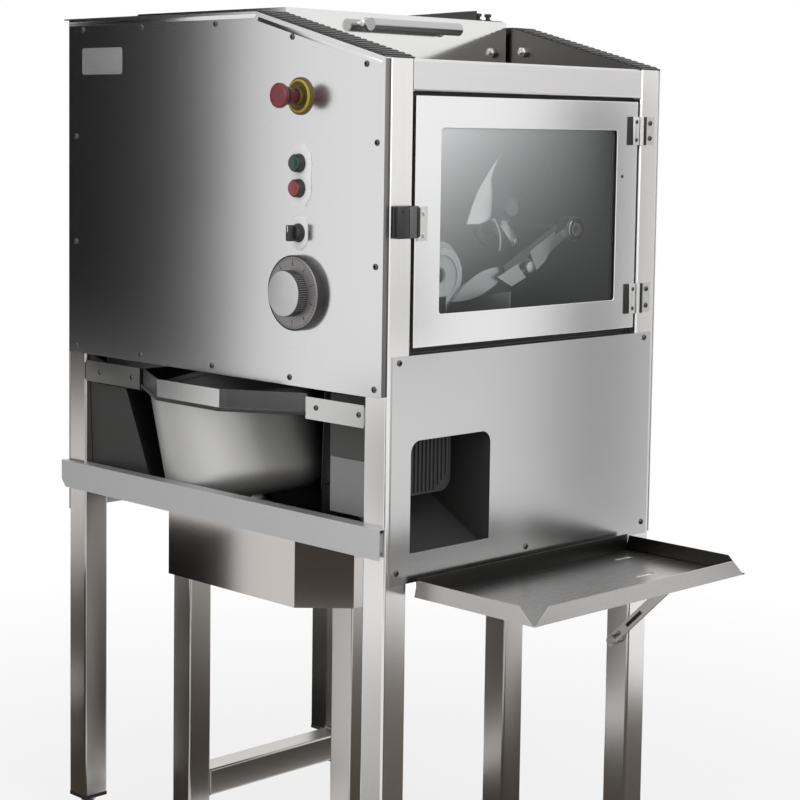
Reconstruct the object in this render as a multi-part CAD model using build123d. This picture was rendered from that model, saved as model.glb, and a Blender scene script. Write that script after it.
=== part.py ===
from build123d import *
from math import atan2, cos, degrees, hypot, radians, sin
import os

# Dough divider rounder on a tube frame. A hopper feeds an auger, the auger pushes the
# dough out of a nozzle, a swinging knife behind the window cuts it, and a tilted bowl
# rounds the pieces, which slide out of the front outlet onto the tray.
# Millimetres. X runs right along the front, Y to the rear and Z up from the floor.

# Tube frame
frame_width = 660
frame_depth = 836
post_top = 1406
tube = 50
tube_wall = 2
tube_corner = 4
foot_height = 50
rail_depth = 40
sheet = 1.5
running_fit = 0.05
loose_fit = 0.3
far_x = frame_width - tube
far_y = frame_depth - tube
inner_left = tube + sheet
inner_right = far_x - sheet
recess_z = post_top - tube

# Side walls with the sloped front
panel_stand = 12
panel_height = 601
panel_short = 16
wall_rise = 78
ridge = 303
cap_thick = 2
panel_face = -panel_stand
panel_end = frame_depth - panel_short
panel_top = post_top + wall_rise
panel_bottom = panel_top - panel_height

# Auger and nozzle
auger_room = 380
auger_drop = 350
barrel_bore = 50
barrel_wall = 8
barrel_front = 120
drive_room = 196
auger_gap = 1
auger_shaft = 14
auger_pitch = 90
nozzle_length = 14
nozzle_radius = 42
auger_x = far_x - auger_room
auger_z = post_top - auger_drop
barrel_radius = barrel_bore + barrel_wall
barrel_rear = frame_depth - drive_room
auger_radius = barrel_bore - auger_gap
nozzle_front = barrel_front - nozzle_length

# Cutting chamber behind the window
chamber_drop = 110
back_plate_y = 300
back_plate = 2
chamber_floor_z = auger_z - chamber_drop
back_plate_top = post_top - back_plate
drive_face = back_plate_y + back_plate

# Door and window
door_gap = 4.5
hinge_room = 10
door_sill = 11
door_head = 6.5
door_front = -2
door_depth = 18
left_stile = 56.5
right_stile = 55
lower_rail = 51
upper_rail = 49.5
window_corner = 6
glass_lap = 8
glass_thick = 4
leaf_thick = 2
knuckle = 4.5
hinge_pin = 2.2
hinge_x = far_x - hinge_room / 2
hinge_y = -knuckle - 1
door_left = tube + door_gap
door_right = far_x - hinge_room
door_bottom = chamber_floor_z + door_sill
door_top = recess_z - door_head
window_left = door_left + left_stile
window_right = door_right - right_stile
window_bottom = door_bottom + lower_rail
window_top = door_top - upper_rail
hinge_spans = ((door_top - 74.5, door_top - 25.5), (door_bottom + 25, door_bottom + 77))

# Hopper and lid
lid_gap = 10
lid_setback = 8
lid_hinge_room = 116
lid_height = 17
lid_plate = 85
lid_knuckle = 5
lid_pin = 2.5
rim_drop = 6
hopper_gap = 12
hopper_box = 78
throat_half = 46
throat_rise = 74
lid_left = tube + lid_gap
lid_right = far_x - lid_gap
lid_front = ridge + lid_setback
lid_hinge_y = frame_depth - lid_hinge_room
lid_rear = lid_hinge_y - lid_knuckle - 3
hopper_rim = panel_top - rim_drop
lid_top = hopper_rim + lid_height
lid_hinge_z = panel_top + 2 * sheet + lid_knuckle
lid_plate_bottom = lid_top - lid_plate
hopper_left = tube + hopper_gap
hopper_right = far_x - hopper_gap
hopper_front = lid_front + 11
hopper_rear = lid_rear - hopper_gap
hopper_break = hopper_rim - hopper_box
throat_front = hopper_front + 28
throat_rear = hopper_rear - 100
throat_top = auger_z + throat_rise

# Knife
knife_room = 65
knife_rise = 70
knife_shaft_radius = 12
knife_thick = 6
knife_gap = 4
knife_reach = 320
leaf_length = 130
knife_lean = degrees(atan2(113, 300))
knife_x = far_x - knife_room
knife_z = auger_z + knife_rise
knife_front = nozzle_front - knife_gap - knife_thick

# Lower front panel and outlet
front_inset = 10
front_height = 360
front_thick = 2
outlet_gap = 3
outlet_width = 183
outlet_sill = 47
outlet_height = 178
outlet_corner = 20
front_left = front_inset
front_right = frame_width - front_inset
front_top = chamber_floor_z
front_bottom = front_top - front_height
skirt_bottom = front_bottom + 1
outlet_left = tube + outlet_gap
outlet_right = outlet_left + outlet_width
outlet_bottom = front_bottom + outlet_sill
outlet_top = outlet_bottom + outlet_height

# Rounder stand and drive guard
stand_left = 107
stand_front = 185
stand_right_room = 121
stand_rear_room = 174
deck_rise = 4
deck_thick = 4
guard_drop = 70
guard_height = 112
stand_right = frame_width - stand_right_room
stand_rear = frame_depth - stand_rear_room
deck_bottom = front_bottom + deck_rise
deck_top = deck_bottom + deck_thick
guard_bottom = deck_bottom - guard_drop
guard_top = guard_bottom + guard_height
guard_face = panel_face + sheet
guard_front = stand_front + 12
guard_rear = stand_rear - 136
guard_corner_x = stand_left - 48
guard_corner_y = guard_front - 67

# Rounding bowl, tilted to the rear
bowl_x = 160
bowl_room = 328
bowl_lift = 42
bowl_tilt = 17
bowl_radius = 143
bowl_height = 225
bowl_corner = 45
bowl_wall = 2
spindle = 15
bowl_y = frame_depth - bowl_room
bowl_z = deck_top + bowl_lift
lean_sin = sin(radians(bowl_tilt))
lean_cos = cos(radians(bowl_tilt))

# Tray
tray_gap = 5
tray_right_room = 25
tray_depth = 251
tray_stand = 12
tray_drop = 19
tray_sheet = 2
tray_lip = 25
tray_notch = 34
tab_left = 281
tab_width = 75
tray_knuckle = 5
strut_gap = 12
strut_thick = 4
strut_width = 18
strut_bolt = 4
slot_travel = 22
tray_left = tube + tray_gap
tray_right = far_x - tray_right_room
tray_rear = -tray_stand
tray_front = tray_rear - tray_depth
tray_z = front_bottom - tray_drop
tray_hinge_y = -tray_stand / 2
tray_hinge_z = tray_z - tray_sheet / 2
tab_right = tab_left + tab_width
strut_x = tray_right + strut_gap
strut_top = (tray_rear - 148, tray_z + 8)
strut_pin = (26, tray_z - 173)

# Controls on the left panel
control_y = 192
estop_drop = 137
start_drop = 106
button_step = 40
selector_drop = 71
dial_drop = 96
button_radius = 11
dial_stem = 6
dial_radius = 60
knob_radius = 39
plate_thick = 1.5
estop_z = panel_top - estop_drop
start_z = estop_z - start_drop
stop_z = start_z - button_step
selector_z = stop_z - selector_drop
dial_z = selector_z - dial_drop

LOW = (Align.CENTER, Align.CENTER, Align.MIN)
parts = {}


def block(x0, x1, y0, y1, z0, z1):
    return Pos(x0, y0, z0) * Box(x1 - x0, y1 - y0, z1 - z0, align=(Align.MIN,) * 3)


def rod_x(x0, x1, y, z, radius):
    return Pos(x0, y, z) * Rot(0, 90, 0) * Cylinder(radius, x1 - x0, align=LOW)


def rod_y(y0, y1, x, z, radius):
    return Pos(x, y0, z) * Rot(-90, 0, 0) * Cylinder(radius, y1 - y0, align=LOW)


def rod_z(z0, z1, x, y, radius):
    return Pos(x, y, z0) * Cylinder(radius, z1 - z0, align=LOW)


def prism_x(points, x0, x1):
    face = make_face(Polyline(*[(x0, y, z) for y, z in points], close=True))
    return extrude(face, amount=x1 - x0, dir=(1, 0, 0))


def prism_y(points, y0, y1):
    face = make_face(Polyline(*[(x, y0, z) for x, z in points], close=True))
    return extrude(face, amount=y1 - y0, dir=(0, 1, 0))


def prism_z(points, z0, z1):
    face = make_face(Polyline(*[(x, y, z0) for x, y in points], close=True))
    return extrude(face, amount=z1 - z0, dir=(0, 0, 1))


def square_tube(x, y, z, along):
    spans = [list(x), list(y), list(z)]
    outer = block(*spans[0], *spans[1], *spans[2])
    outer = fillet(outer.edges().filter_by(along), tube_corner)
    for axis, span in zip((Axis.X, Axis.Y, Axis.Z), spans):
        if axis != along:
            span[0] += tube_wall
            span[1] -= tube_wall
    return outer - block(*spans[0], *spans[1], *spans[2])


def trough(plan, rise, height):
    # A sheet channel: plan gives its four corners, rise its floor height at both ends.
    (left0, y0), (right0, _), (right1, y1), (left1, _) = plan
    low, high = rise
    below = min(rise) - height
    above = max(rise) + 2 * height
    past_left = min(left0, left1) - height
    past_right = max(right0, right1) + height

    def band(bottom, top):
        profile = [
            (y0 - 2, low + bottom),
            (y1 + 2, high + bottom),
            (y1 + 2, high + top),
            (y0 - 2, low + top),
        ]
        return prism_x(profile, past_left, past_right)

    inner = [
        (left0 + sheet, y0 - 1),
        (right0 - sheet, y0 - 1),
        (right1 - sheet, y1 + 1),
        (left1 + sheet, y1 + 1),
    ]
    outside = prism_z(plan, below, above) & band(-sheet, height)
    return outside - (prism_z(inner, below, above) & band(0, height + 5))


# Four corner posts, the top rails that join them and the levelling feet
post_span = (foot_height, post_top)
for name, y in (("front_posts", 0), ("rear_posts", far_y)):
    pair = [square_tube((x, x + tube), (y, y + tube), post_span, Axis.Z) for x in (0, far_x)]
    parts[name] = Compound(pair)

cross_span = (recess_z, post_top)
side_span = (post_top - rail_depth, post_top)
parts["top_rails"] = Compound(
    [
        square_tube((tube, far_x), (0, tube), cross_span, Axis.X),
        square_tube((tube, far_x), (far_y, frame_depth), cross_span, Axis.X),
        square_tube((0, tube), (tube, far_y), side_span, Axis.Y),
        square_tube((far_x, frame_width), (tube, far_y), side_span, Axis.Y),
    ]
)

foot_pad = 18
foot_plug = 6


def foot(x, y):
    pad = Cone(22, 16, foot_pad, align=LOW)
    stem = Pos(0, 0, foot_pad) * Cylinder(8, foot_height - foot_pad - 4, align=LOW)
    plug = Pos(0, 0, foot_height - foot_plug) * Box(tube - 1, tube - 1, foot_plug, align=LOW)
    return Pos(x + tube / 2, y + tube / 2, 0) * (pad + stem + plug)


stand_xs = (stand_left, stand_right - tube)
stand_ys = (stand_front, stand_rear - tube)
foot_places = [(x, y) for x in (0, far_x) for y in (0, far_y)]
foot_places += [(x, y) for x in stand_xs for y in stand_ys]
parts["levelling_feet"] = Compound([foot(x, y) for x, y in foot_places])

# Control panel on the left, a shallow pan with returns back to the posts
wall_line = [(0, post_top), (ridge, panel_top), (panel_end, panel_top)]
pan = prism_x(wall_line + [(panel_end, panel_bottom), (0, panel_bottom)], panel_face, 0)
pan -= block(
    panel_face + sheet, 1, sheet, panel_end - sheet, panel_bottom + sheet, panel_top + 1
)
for z in (estop_z, start_z, stop_z, selector_z):
    pan -= rod_x(panel_face - 1, 1, control_y, z, button_radius + loose_fit)
pan -= rod_x(panel_face - 1, 1, control_y, dial_z, dial_stem + loose_fit)
parts["control_panel"] = pan

# Dark caps along the tops of both side walls, following the slope and the flat
cap_line = [(0, post_top), (ridge, panel_top), (frame_depth, panel_top)]
cap_profile = cap_line + [(y, z + cap_thick) for y, z in reversed(cap_line)]
parts["wall_caps"] = Compound(
    [
        prism_x(cap_profile, panel_face, inner_left),
        prism_x(cap_profile, inner_right, frame_width + sheet),
    ]
)

inner_profile = [
    (tube, chamber_floor_z),
    (far_y, chamber_floor_z),
    (far_y, panel_top),
    (ridge, panel_top),
    (0, post_top),
    (tube, post_top),
]
parts["inner_walls"] = Compound(
    [
        prism_x(inner_profile, tube, inner_left),
        prism_x(inner_profile, inner_right, far_x),
    ]
)

right_profile = [(0, skirt_bottom), (frame_depth, skirt_bottom), (frame_depth, panel_top)]
right_profile += [(ridge, panel_top), (0, post_top)]
parts["right_side_panel"] = prism_x(right_profile, frame_width, frame_width + sheet)

# Rear panel folded over at the top into the roof behind the lid
rear_face = frame_depth + sheet
rear_panel = block(0, frame_width, frame_depth, rear_face, skirt_bottom, panel_top)
roof_front = lid_rear + 4
rear_panel += block(inner_left, inner_right, roof_front, rear_face, panel_top, panel_top + sheet)
parts["rear_panel"] = rear_panel

# Cutting chamber: floor, roof and the back plate that carries the barrel and the knife
chute_front = tube - 5
chute_left = auger_x - 55
chute_right = auger_x + 100
hole_left = chute_left - 25
hole_right = chute_right + 2
chamber_floor = block(
    inner_left, inner_right, 22, back_plate_y, chamber_floor_z, chamber_floor_z + sheet
)
chamber_floor -= block(
    hole_left, hole_right, chute_front - 1, back_plate_y + 1, chamber_floor_z - 1, chamber_floor_z + 5
)
recess_floor = block(inner_left, inner_right, tube, back_plate_y, recess_z, recess_z + sheet)
parts["chamber_plates"] = Compound([chamber_floor, recess_floor])

plate = block(inner_left, inner_right, back_plate_y, drive_face, chamber_floor_z, back_plate_top)
plate -= rod_y(back_plate_y - 1, drive_face + 1, auger_x, auger_z, barrel_radius + loose_fit)
plate -= rod_y(back_plate_y - 1, drive_face + 1, knife_x, knife_z, knife_shaft_radius + 2)
plate -= block(
    hole_left, hole_right, back_plate_y - 1, drive_face + 1, chamber_floor_z - 1, chamber_floor_z + 44
)
parts["chamber_back_plate"] = plate

# Hopper: welded sheets that make a straight box, an uneven funnel and a throat that
# saddles the barrel, with rim strips that lie against the inner walls
hopper_sheet = 2
saddle_z = auger_z + 20


def sheet_ring(lower, upper):
    plates = []
    for side in range(4):
        after = (side + 1) % 4
        ends = []
        for x0, x1, y0, y1, z in (lower, upper):
            edge = hopper_sheet
            outer = [(x0, y0), (x1, y0), (x1, y1), (x0, y1)]
            inner = [(x0 + edge, y0 + edge), (x1 - edge, y0 + edge)]
            inner += [(x1 - edge, y1 - edge), (x0 + edge, y1 - edge)]
            corners = (outer[side], outer[after], inner[after], inner[side])
            ends.append(make_face(Polyline(*[(x, y, z) for x, y in corners], close=True)))
        plates.append(loft(ends, ruled=True))
    return plates


mouth_plan = (hopper_left, hopper_right, hopper_front, hopper_rear)
throat_plan = (auger_x - throat_half, auger_x + throat_half, throat_front, throat_rear)
saddle = rod_y(throat_front - 5, throat_rear + 5, auger_x, auger_z, barrel_radius + running_fit)
hopper = sheet_ring((*mouth_plan, hopper_break), (*mouth_plan, hopper_rim))
hopper += sheet_ring((*throat_plan, throat_top), (*mouth_plan, hopper_break))
hopper += [plate - saddle for plate in sheet_ring((*throat_plan, saddle_z), (*throat_plan, throat_top))]
rim_front, rim_rear = lid_front + 5, lid_rear
rim_strips = (
    (inner_left, hopper_left, rim_front, rim_rear),
    (hopper_right, inner_right, rim_front, rim_rear),
    (hopper_left, hopper_right, rim_front, hopper_front),
    (hopper_left, hopper_right, hopper_rear, rim_rear),
)
hopper += [block(*strip, hopper_rim - hopper_sheet, hopper_rim) for strip in rim_strips]
parts["hopper"] = Compound(hopper)

# Auger barrel with its seating flange, the tapered nozzle and the drive at the rear
barrel_flange = 22
barrel = rod_y(barrel_front, barrel_rear, auger_x, auger_z, barrel_radius)
barrel += rod_y(drive_face, drive_face + 8, auger_x, auger_z, barrel_radius + barrel_flange)
barrel -= rod_y(barrel_front - 1, barrel_rear + 1, auger_x, auger_z, barrel_bore)
barrel -= block(
    auger_x - throat_half + 4,
    auger_x + throat_half - 4,
    throat_front + 4,
    throat_rear - 4,
    auger_z,
    auger_z + barrel_radius + 1,
)
parts["auger_barrel"] = barrel

nozzle = Pos(auger_x, nozzle_front, auger_z) * Rot(-90, 0, 0) * Cone(
    nozzle_radius, barrel_radius - 2, nozzle_length, align=LOW
)
nozzle -= Pos(auger_x, nozzle_front - 0.5, auger_z) * Rot(-90, 0, 0) * Cone(
    nozzle_radius - barrel_wall, barrel_bore - 2, nozzle_length + 1, align=LOW
)
parts["nozzle"] = nozzle

flight_start = barrel_front + 12
flight_thick = 5
flight_length = barrel_rear - flight_start - 13
flight_width = auger_radius - auger_shaft + 2
flight_plane = Plane(origin=(auger_shaft, 0, 0), x_dir=(1, 0, 0), z_dir=(0, 1, 0))
flight_face = flight_plane * Pos(flight_width / 2 - 2, 0) * Rectangle(flight_width, flight_thick)
helix = Helix(auger_pitch, flight_length, auger_shaft)
flight = sweep(flight_face, path=helix, is_frenet=True)
screw = Pos(auger_x, flight_start + 4, auger_z) * Rot(-90, 0, 0) * flight
screw += rod_y(flight_start, barrel_rear + 90, auger_x, auger_z, auger_shaft)
parts["auger"] = screw

gear_half = 60
gear_front = barrel_rear + 10
gear_rear = gear_front + 90
gearmotor = block(
    auger_x - gear_half, auger_x + gear_half, gear_front, gear_rear, auger_z - 65, auger_z + 65
)
gearmotor = fillet(gearmotor.edges().filter_by(Axis.Y), 12)
gearmotor += rod_y(barrel_rear, gear_front, auger_x, auger_z, barrel_radius + 12)
motor_start = auger_x + gear_half
gearmotor += rod_x(motor_start, motor_start + 180, gear_front + 45, auger_z, 52)
gearmotor += block(
    motor_start + 50, motor_start + 130, gear_front + 10, gear_front + 80, auger_z + 45, auger_z + 80
)
gearmotor -= rod_y(barrel_rear - 1, barrel_rear + 91, auger_x, auger_z, auger_shaft + running_fit)
parts["auger_gearmotor"] = gearmotor

# Knife on its shaft: a long arm that ends in a leaf blade, with a stiffening plate
arm_place = Pos(knife_x, knife_front, knife_z) * Rot(0, -knife_lean, 0)
arm_half = 8
leaf_root = leaf_length - knife_reach
arm_edges = [
    Line((0, 0, -arm_half), (0, 0, arm_half)),
    Line((0, 0, arm_half), (leaf_root, 0, arm_half)),
    ThreePointArc((leaf_root, 0, arm_half), (leaf_root - 58, 0, arm_half + 12), (-knife_reach, 0, 0)),
    ThreePointArc((-knife_reach, 0, 0), (leaf_root - 65, 0, -2 * arm_half), (leaf_root, 0, -arm_half)),
    Line((leaf_root, 0, -arm_half), (0, 0, -arm_half)),
]
arm = extrude(make_face(arm_edges), amount=knife_thick, dir=(0, 1, 0))
brace = [(-20, 4), (-150, 4), (-150, -22), (-118, -30), (-20, -12)]
arm += prism_y(brace, knife_thick, knife_thick + 4)
arm += rod_y(-5, knife_thick + 6, -122, -12, 7)
arm += rod_y(-6, knife_thick + 10, 0, 0, knife_shaft_radius + 10)
arm -= rod_y(-10, knife_thick + 14, 0, 0, knife_shaft_radius)
parts["knife_arm"] = arm_place * arm
knife_shaft_end = drive_face + 70
parts["knife_shaft"] = rod_y(knife_front - 10, knife_shaft_end, knife_x, knife_z, knife_shaft_radius)

bearing_flange = 10
bearing_length = 38
knife_bore = knife_shaft_radius + running_fit
bearing = rod_y(back_plate_y - bearing_flange, back_plate_y, knife_x, knife_z, 38)
bearing += rod_y(back_plate_y - bearing_length, back_plate_y - bearing_flange, knife_x, knife_z, 24)
bearing -= rod_y(back_plate_y - bearing_length - 2, back_plate_y + 1, knife_x, knife_z, knife_bore)
parts["knife_bearing"] = bearing

cutter = block(knife_x - 45, knife_x + 45, drive_face, drive_face + 80, knife_z - 50, knife_z + 50)
cutter = fillet(cutter.edges().filter_by(Axis.Y), 8)
cutter += rod_z(knife_z - 180, knife_z - 50, knife_x, drive_face + 46, 42)
cutter -= rod_y(drive_face - 1, knife_shaft_end + 1, knife_x, knife_z, knife_bore)
parts["cutter_gearmotor"] = cutter

stop_x = knife_x - 157
stop_height = knife_z + 41
buffer_end = knife_front + 30
stop = rod_y(knife_front, buffer_end, stop_x, stop_height, 16)
stop += rod_y(buffer_end, back_plate_y, stop_x, stop_height, 7)
parts["knife_stop"] = stop

# Bright curved sheet above the nozzle that keeps the dough off the back of the chamber
sickle_y = barrel_front + 4
sickle_thick = 2


def near_nozzle(x, z):
    return (auger_x + x, sickle_y, auger_z + z)


sickle_edges = [
    Spline(near_nozzle(122, 194), near_nozzle(70, 144), near_nozzle(48, 87)),
    Line(near_nozzle(48, 87), near_nozzle(105, 90)),
    Spline(near_nozzle(105, 90), near_nozzle(100, 144), near_nozzle(122, 194)),
]
sickle = extrude(make_face(sickle_edges), amount=sickle_thick, dir=(0, 1, 0))
sickle += rod_y(sickle_y + 1, back_plate_y, auger_x + 82, auger_z + 114, 6)
parts["curved_deflector"] = sickle

# Chute that takes the cut piece through the chamber floor into the bowl
chute_rear = bowl_y - 53
chute_rear_left = bowl_x + 46
chute_rear_right = bowl_x + 136
chute_rise = (chamber_floor_z + 39, chamber_floor_z - 38)
chute_plan = [
    (chute_left, chute_front),
    (chute_right, chute_front),
    (chute_rear_right, chute_rear),
    (chute_rear_left, chute_rear),
]
transfer = trough(chute_plan, chute_rise, 45)
tab_y = 120
tab_depth = 30
tab_share = (tab_y - chute_front) / (chute_rear - chute_front)
left_wall = chute_left + tab_share * (chute_rear_left - chute_left) - 0.37
right_wall = chute_right + tab_share * (chute_rear_right - chute_right) - 2.78
tab_bottom = chamber_floor_z + sheet
tab_top = chamber_floor_z + 34
for wall_x, tab_x in ((left_wall, hole_left - 20), (right_wall, right_wall)):
    transfer += block(tab_x, tab_x + 52, tab_y, tab_y + tab_depth, tab_bottom, tab_bottom + sheet)
    transfer += block(wall_x, wall_x + sheet, tab_y, tab_y + tab_depth, tab_bottom, tab_top)
parts["transfer_chute"] = transfer

# Rounding bowl, its spindle, the fixed track inside it and the drive under the deck
bowl_rim = 8
bowl_place = Pos(bowl_x, bowl_y, bowl_z) * Rot(-bowl_tilt, 0, 0)
outer = Cylinder(bowl_radius, bowl_height, align=LOW)
outer = fillet(outer.edges().group_by(Axis.Z)[0], bowl_corner)
inner = Pos(0, 0, bowl_wall) * Cylinder(bowl_radius - bowl_wall, bowl_height, align=LOW)
inner = fillet(inner.edges().group_by(Axis.Z)[0], bowl_corner - bowl_wall)
rim = Pos(0, 0, bowl_height - bowl_rim) * Cylinder(bowl_radius + 4, bowl_rim, align=LOW)
parts["bowl"] = bowl_place * (outer + rim - inner)

spindle_end = 108
spindle_flange = 8
turned = Pos(0, 0, -spindle_flange) * Cylinder(40, spindle_flange, align=LOW)
turned += Pos(0, 0, -spindle_end) * Cylinder(spindle, spindle_end, align=LOW)
parts["bowl_spindle"] = bowl_place * turned

bore_length = 4 * spindle_end
spindle_bore = bowl_place * Cylinder(spindle + running_fit, bore_length)
spindle_gap = bowl_place * Cylinder(spindle + 4, bore_length)
lean_y = bowl_y - bowl_lift * lean_sin / lean_cos
housing_top = -spindle_flange - 1
housing = bowl_place * Pos(0, 0, housing_top - 71) * Cylinder(34, 71, align=LOW)
housing &= block(bowl_x - 60, bowl_x + 60, lean_y - 100, lean_y + 100, deck_top, bowl_z + 60)
housing += block(bowl_x - 55, bowl_x + 55, lean_y - 55, lean_y + 55, deck_top, deck_top + 8)
parts["bowl_bearing"] = housing - spindle_bore

rounder = block(bowl_x - 50, bowl_x + 50, lean_y - 60, lean_y + 40, guard_bottom + 6, deck_bottom)
rounder = fillet(rounder.edges().filter_by(Axis.Z), 8)
rounder += rod_x(bowl_x + 50, bowl_x + 230, lean_y - 10, deck_bottom - 34, 31)
parts["rounder_gearmotor"] = rounder - spindle_bore

track_radius = bowl_radius - 43
track_thick = 3
track_shift = 16
bar_rise = 3.56
post_offset = track_radius - track_thick / 2
bar_z = chamber_floor_z + bar_rise
bar_reach = (bar_z - bowl_z + post_offset * lean_sin) / lean_cos
band = Cylinder(track_radius, 130, align=LOW) - Cylinder(track_radius - track_thick, 130, align=LOW)
band &= Pos(0, -25, 0) * Box(220, 150, 300, align=(Align.CENTER, Align.MIN, Align.MIN))
track = bowl_place * Pos(track_shift, 0, 16) * band
hanger = Cylinder(8, bar_reach - 100, align=LOW)
track += bowl_place * Pos(track_shift, post_offset, 100) * hanger
bar_y = bowl_y + post_offset * lean_cos + bar_reach * lean_sin
track += block(inner_left, inner_right, bar_y - 12, bar_y + 12, bar_z - 10, bar_z + 10)
parts["rounding_track"] = track

# Stand inside the frame with the deck that carries the bowl
stand_span = (foot_height, deck_bottom)
legs = []
for x in stand_xs:
    for y in stand_ys:
        legs.append(square_tube((x, x + tube), (y, y + tube), stand_span, Axis.Z))
low_rail_z = foot_height + 10
low_rail = square_tube(
    (stand_left + tube, stand_right - tube),
    (stand_rear - tube, stand_rear),
    (low_rail_z, low_rail_z + tube),
    Axis.X,
)
parts["rounder_stand"] = Compound(legs + [low_rail])
deck = block(stand_left, stand_right, stand_front, stand_rear, deck_bottom, deck_top)
deck += block(
    guard_face + sheet, stand_left, guard_front + 2, guard_rear - sheet, deck_bottom, deck_top
)
parts["rounder_deck"] = deck - spindle_gap

# Skirt round the drive, with a slanted corner and a screw flange
guard_flange = 36
guard_plan = [
    (guard_face, guard_rear),
    (guard_face, guard_front),
    (guard_corner_x, guard_corner_y),
    (guard_corner_x + guard_flange, guard_corner_y),
]
guard_inside = [
    (guard_corner_x + guard_flange, guard_corner_y + sheet),
    (guard_corner_x + 0.6, guard_corner_y + sheet),
    (guard_face + sheet, guard_front + 0.6),
    (guard_face + sheet, guard_rear - sheet),
    (stand_left - 2, guard_rear - sheet),
    (stand_left - 2, guard_rear),
]
guard = prism_z(guard_plan + guard_inside, guard_bottom, guard_top)
guard -= block(
    guard_face + sheet,
    stand_left,
    guard_rear - 2 * sheet,
    guard_rear + 1,
    deck_bottom,
    guard_top + 1,
)
parts["drive_guard"] = guard

# Shelf lip along the left side, standing off the posts
lip_height = 49
lip_bottom = guard_top - 2
lip_top = lip_bottom + lip_height
lip_end = frame_depth + 8
lip_profile = [
    (0, lip_bottom),
    (lip_end - 12, lip_bottom),
    (lip_end, lip_bottom + 14),
    (lip_end, lip_top),
    (0, lip_top),
]
lip = prism_x(lip_profile, panel_face, guard_face)
lip += block(panel_face, -loose_fit, 0, lip_end, lip_top - sheet, lip_top)
lip += block(panel_face, 13, tube + 1, far_y - 1, lip_top - sheet, lip_top)
for y in (10, far_y + 10):
    lip += block(panel_face, 0, y, y + 30, lip_bottom + 10, lip_top - 9)
parts["shelf_lip"] = lip

# Guard collar bent round the front of the bowl, on two brackets that reach the posts
collar_reach = 80
collar_height = 32
collar_drop = 43
collar_sheet = 2
collar_z = panel_bottom - collar_drop
collar_front = tube + 134
collar_rear = far_y - 169
bend_front = collar_front + 123
bend_rear = collar_rear - 147
collar_plan = [
    (0, collar_front),
    (-collar_reach, bend_front),
    (-collar_reach, bend_rear),
    (0, collar_rear),
]
collar_inside = [
    (collar_sheet, collar_rear + 0.4),
    (collar_sheet - collar_reach, bend_rear + 0.4),
    (collar_sheet - collar_reach, bend_front - 0.4),
    (collar_sheet, collar_front - 0.4),
]
collar = prism_z(collar_plan + collar_inside, collar_z, collar_z + collar_height)
collar += block(-collar_sheet, 0, tube, collar_front, collar_z - 9, collar_z + 27)
collar += block(-collar_sheet, 0, collar_rear, far_y - 36, collar_z - 10, collar_z + 30)
collar += block(-collar_sheet, 30, tube, tube + 3, collar_z - 5, collar_z + 23)
collar += block(-collar_sheet, 3, far_y - 46, far_y, collar_z - 5, collar_z + 25)
collar += block(0, 30, far_y - 3, far_y, collar_z - 5, collar_z + 25)
parts["guard_collar"] = collar

# Lower front panel with the outlet, the chute behind it and the fluted plate above it
front_panel = block(front_left, front_right, -front_thick, 0, front_bottom, front_top)
mouth = block(outlet_left, outlet_right, -10, 10, outlet_bottom, outlet_top)
mouth = fillet(mouth.edges().filter_by(Axis.Y).group_by(Axis.Z)[-1], outlet_corner)
front_panel -= mouth
front_panel += block(inner_left, inner_right, 0, 40, front_top - sheet, front_top)
parts["lower_front_panel"] = front_panel

slide_left = outlet_left + 2
slide_right = outlet_right - 4
slide_rear = bowl_y - 96
slide_low = outlet_bottom + 4
slide_plan = [
    (slide_left, 0),
    (slide_right, 0),
    (bowl_x + 30, slide_rear),
    (bowl_x - 90, slide_rear),
]
outlet = trough(slide_plan, (slide_low, bowl_z + 236), 55)
outlet += block(slide_left, slide_right, 0, sheet, outlet_bottom - 22, slide_low)
parts["outlet_chute"] = outlet

flute_y = tube - 4
flute_left = outlet_left + 8
flute_right = outlet_right - 43
flute_top = outlet_top + 19
flute_height = 118
flute_pitch = 9
flute_count = int((flute_right - flute_left - 12) / flute_pitch) + 1
flute_low = flute_top - flute_height
fluted = block(flute_left, flute_right, flute_y, flute_y + 4, flute_low, flute_top)
lower_corner = fluted.edges().filter_by(Axis.Y).group_by(Axis.X)[-1].sort_by(Axis.Z)[0]
fluted = fillet(lower_corner, 24)
for step in range(flute_count):
    past_corner = max(0, step + 4 - flute_count)
    flute_x = flute_left + 5 + flute_pitch * step
    fluted += rod_z(flute_low + 4 + 7 * past_corner, flute_top - 1, flute_x, flute_y, 3)
fluted += block(flute_left, flute_right, 0, flute_y + 4, flute_top - 3, flute_top)
parts["fluted_plate"] = fluted

# Tray under the outlet, its hinge tab and the slotted strut on the right
tray_under = tray_z - tray_sheet
tray_rim = tray_z + tray_lip
tray = block(tray_left, tray_right, tray_front, tray_rear, tray_under, tray_z)
for x in (tray_left, tray_right - tray_sheet):
    lip_points = [
        (tray_front + 4, tray_under),
        (tray_rear, tray_under),
        (tray_rear - 6, tray_rim),
        (tray_front + tray_notch, tray_rim),
    ]
    tray += prism_x(lip_points, x, x + tray_sheet)
front_points = [
    (tray_left + 4, tray_under),
    (tray_right - 4, tray_under),
    (tray_right - tray_notch, tray_rim),
    (tray_left + tray_notch, tray_rim),
]
tray += prism_y(front_points, tray_front, tray_front + tray_sheet)
for x, y in ((tray_right - 65, tray_rear - 46), (tray_right - 138, tray_rear - 148)):
    tray -= block(x - 22, x + 22, y - 4, y + 4, tray_z - 5, tray_z + 5)
tray -= rod_z(tray_z - 5, tray_z + 5, tray_left + 145, tray_rear - 100, 4)
inner_knuckle = (tab_left + 19, tab_right - 19)
tray += rod_x(*inner_knuckle, tray_hinge_y, tray_hinge_z, tray_knuckle)
tray += block(*inner_knuckle, tray_rear - 4, tray_hinge_y, tray_under, tray_z)
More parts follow.
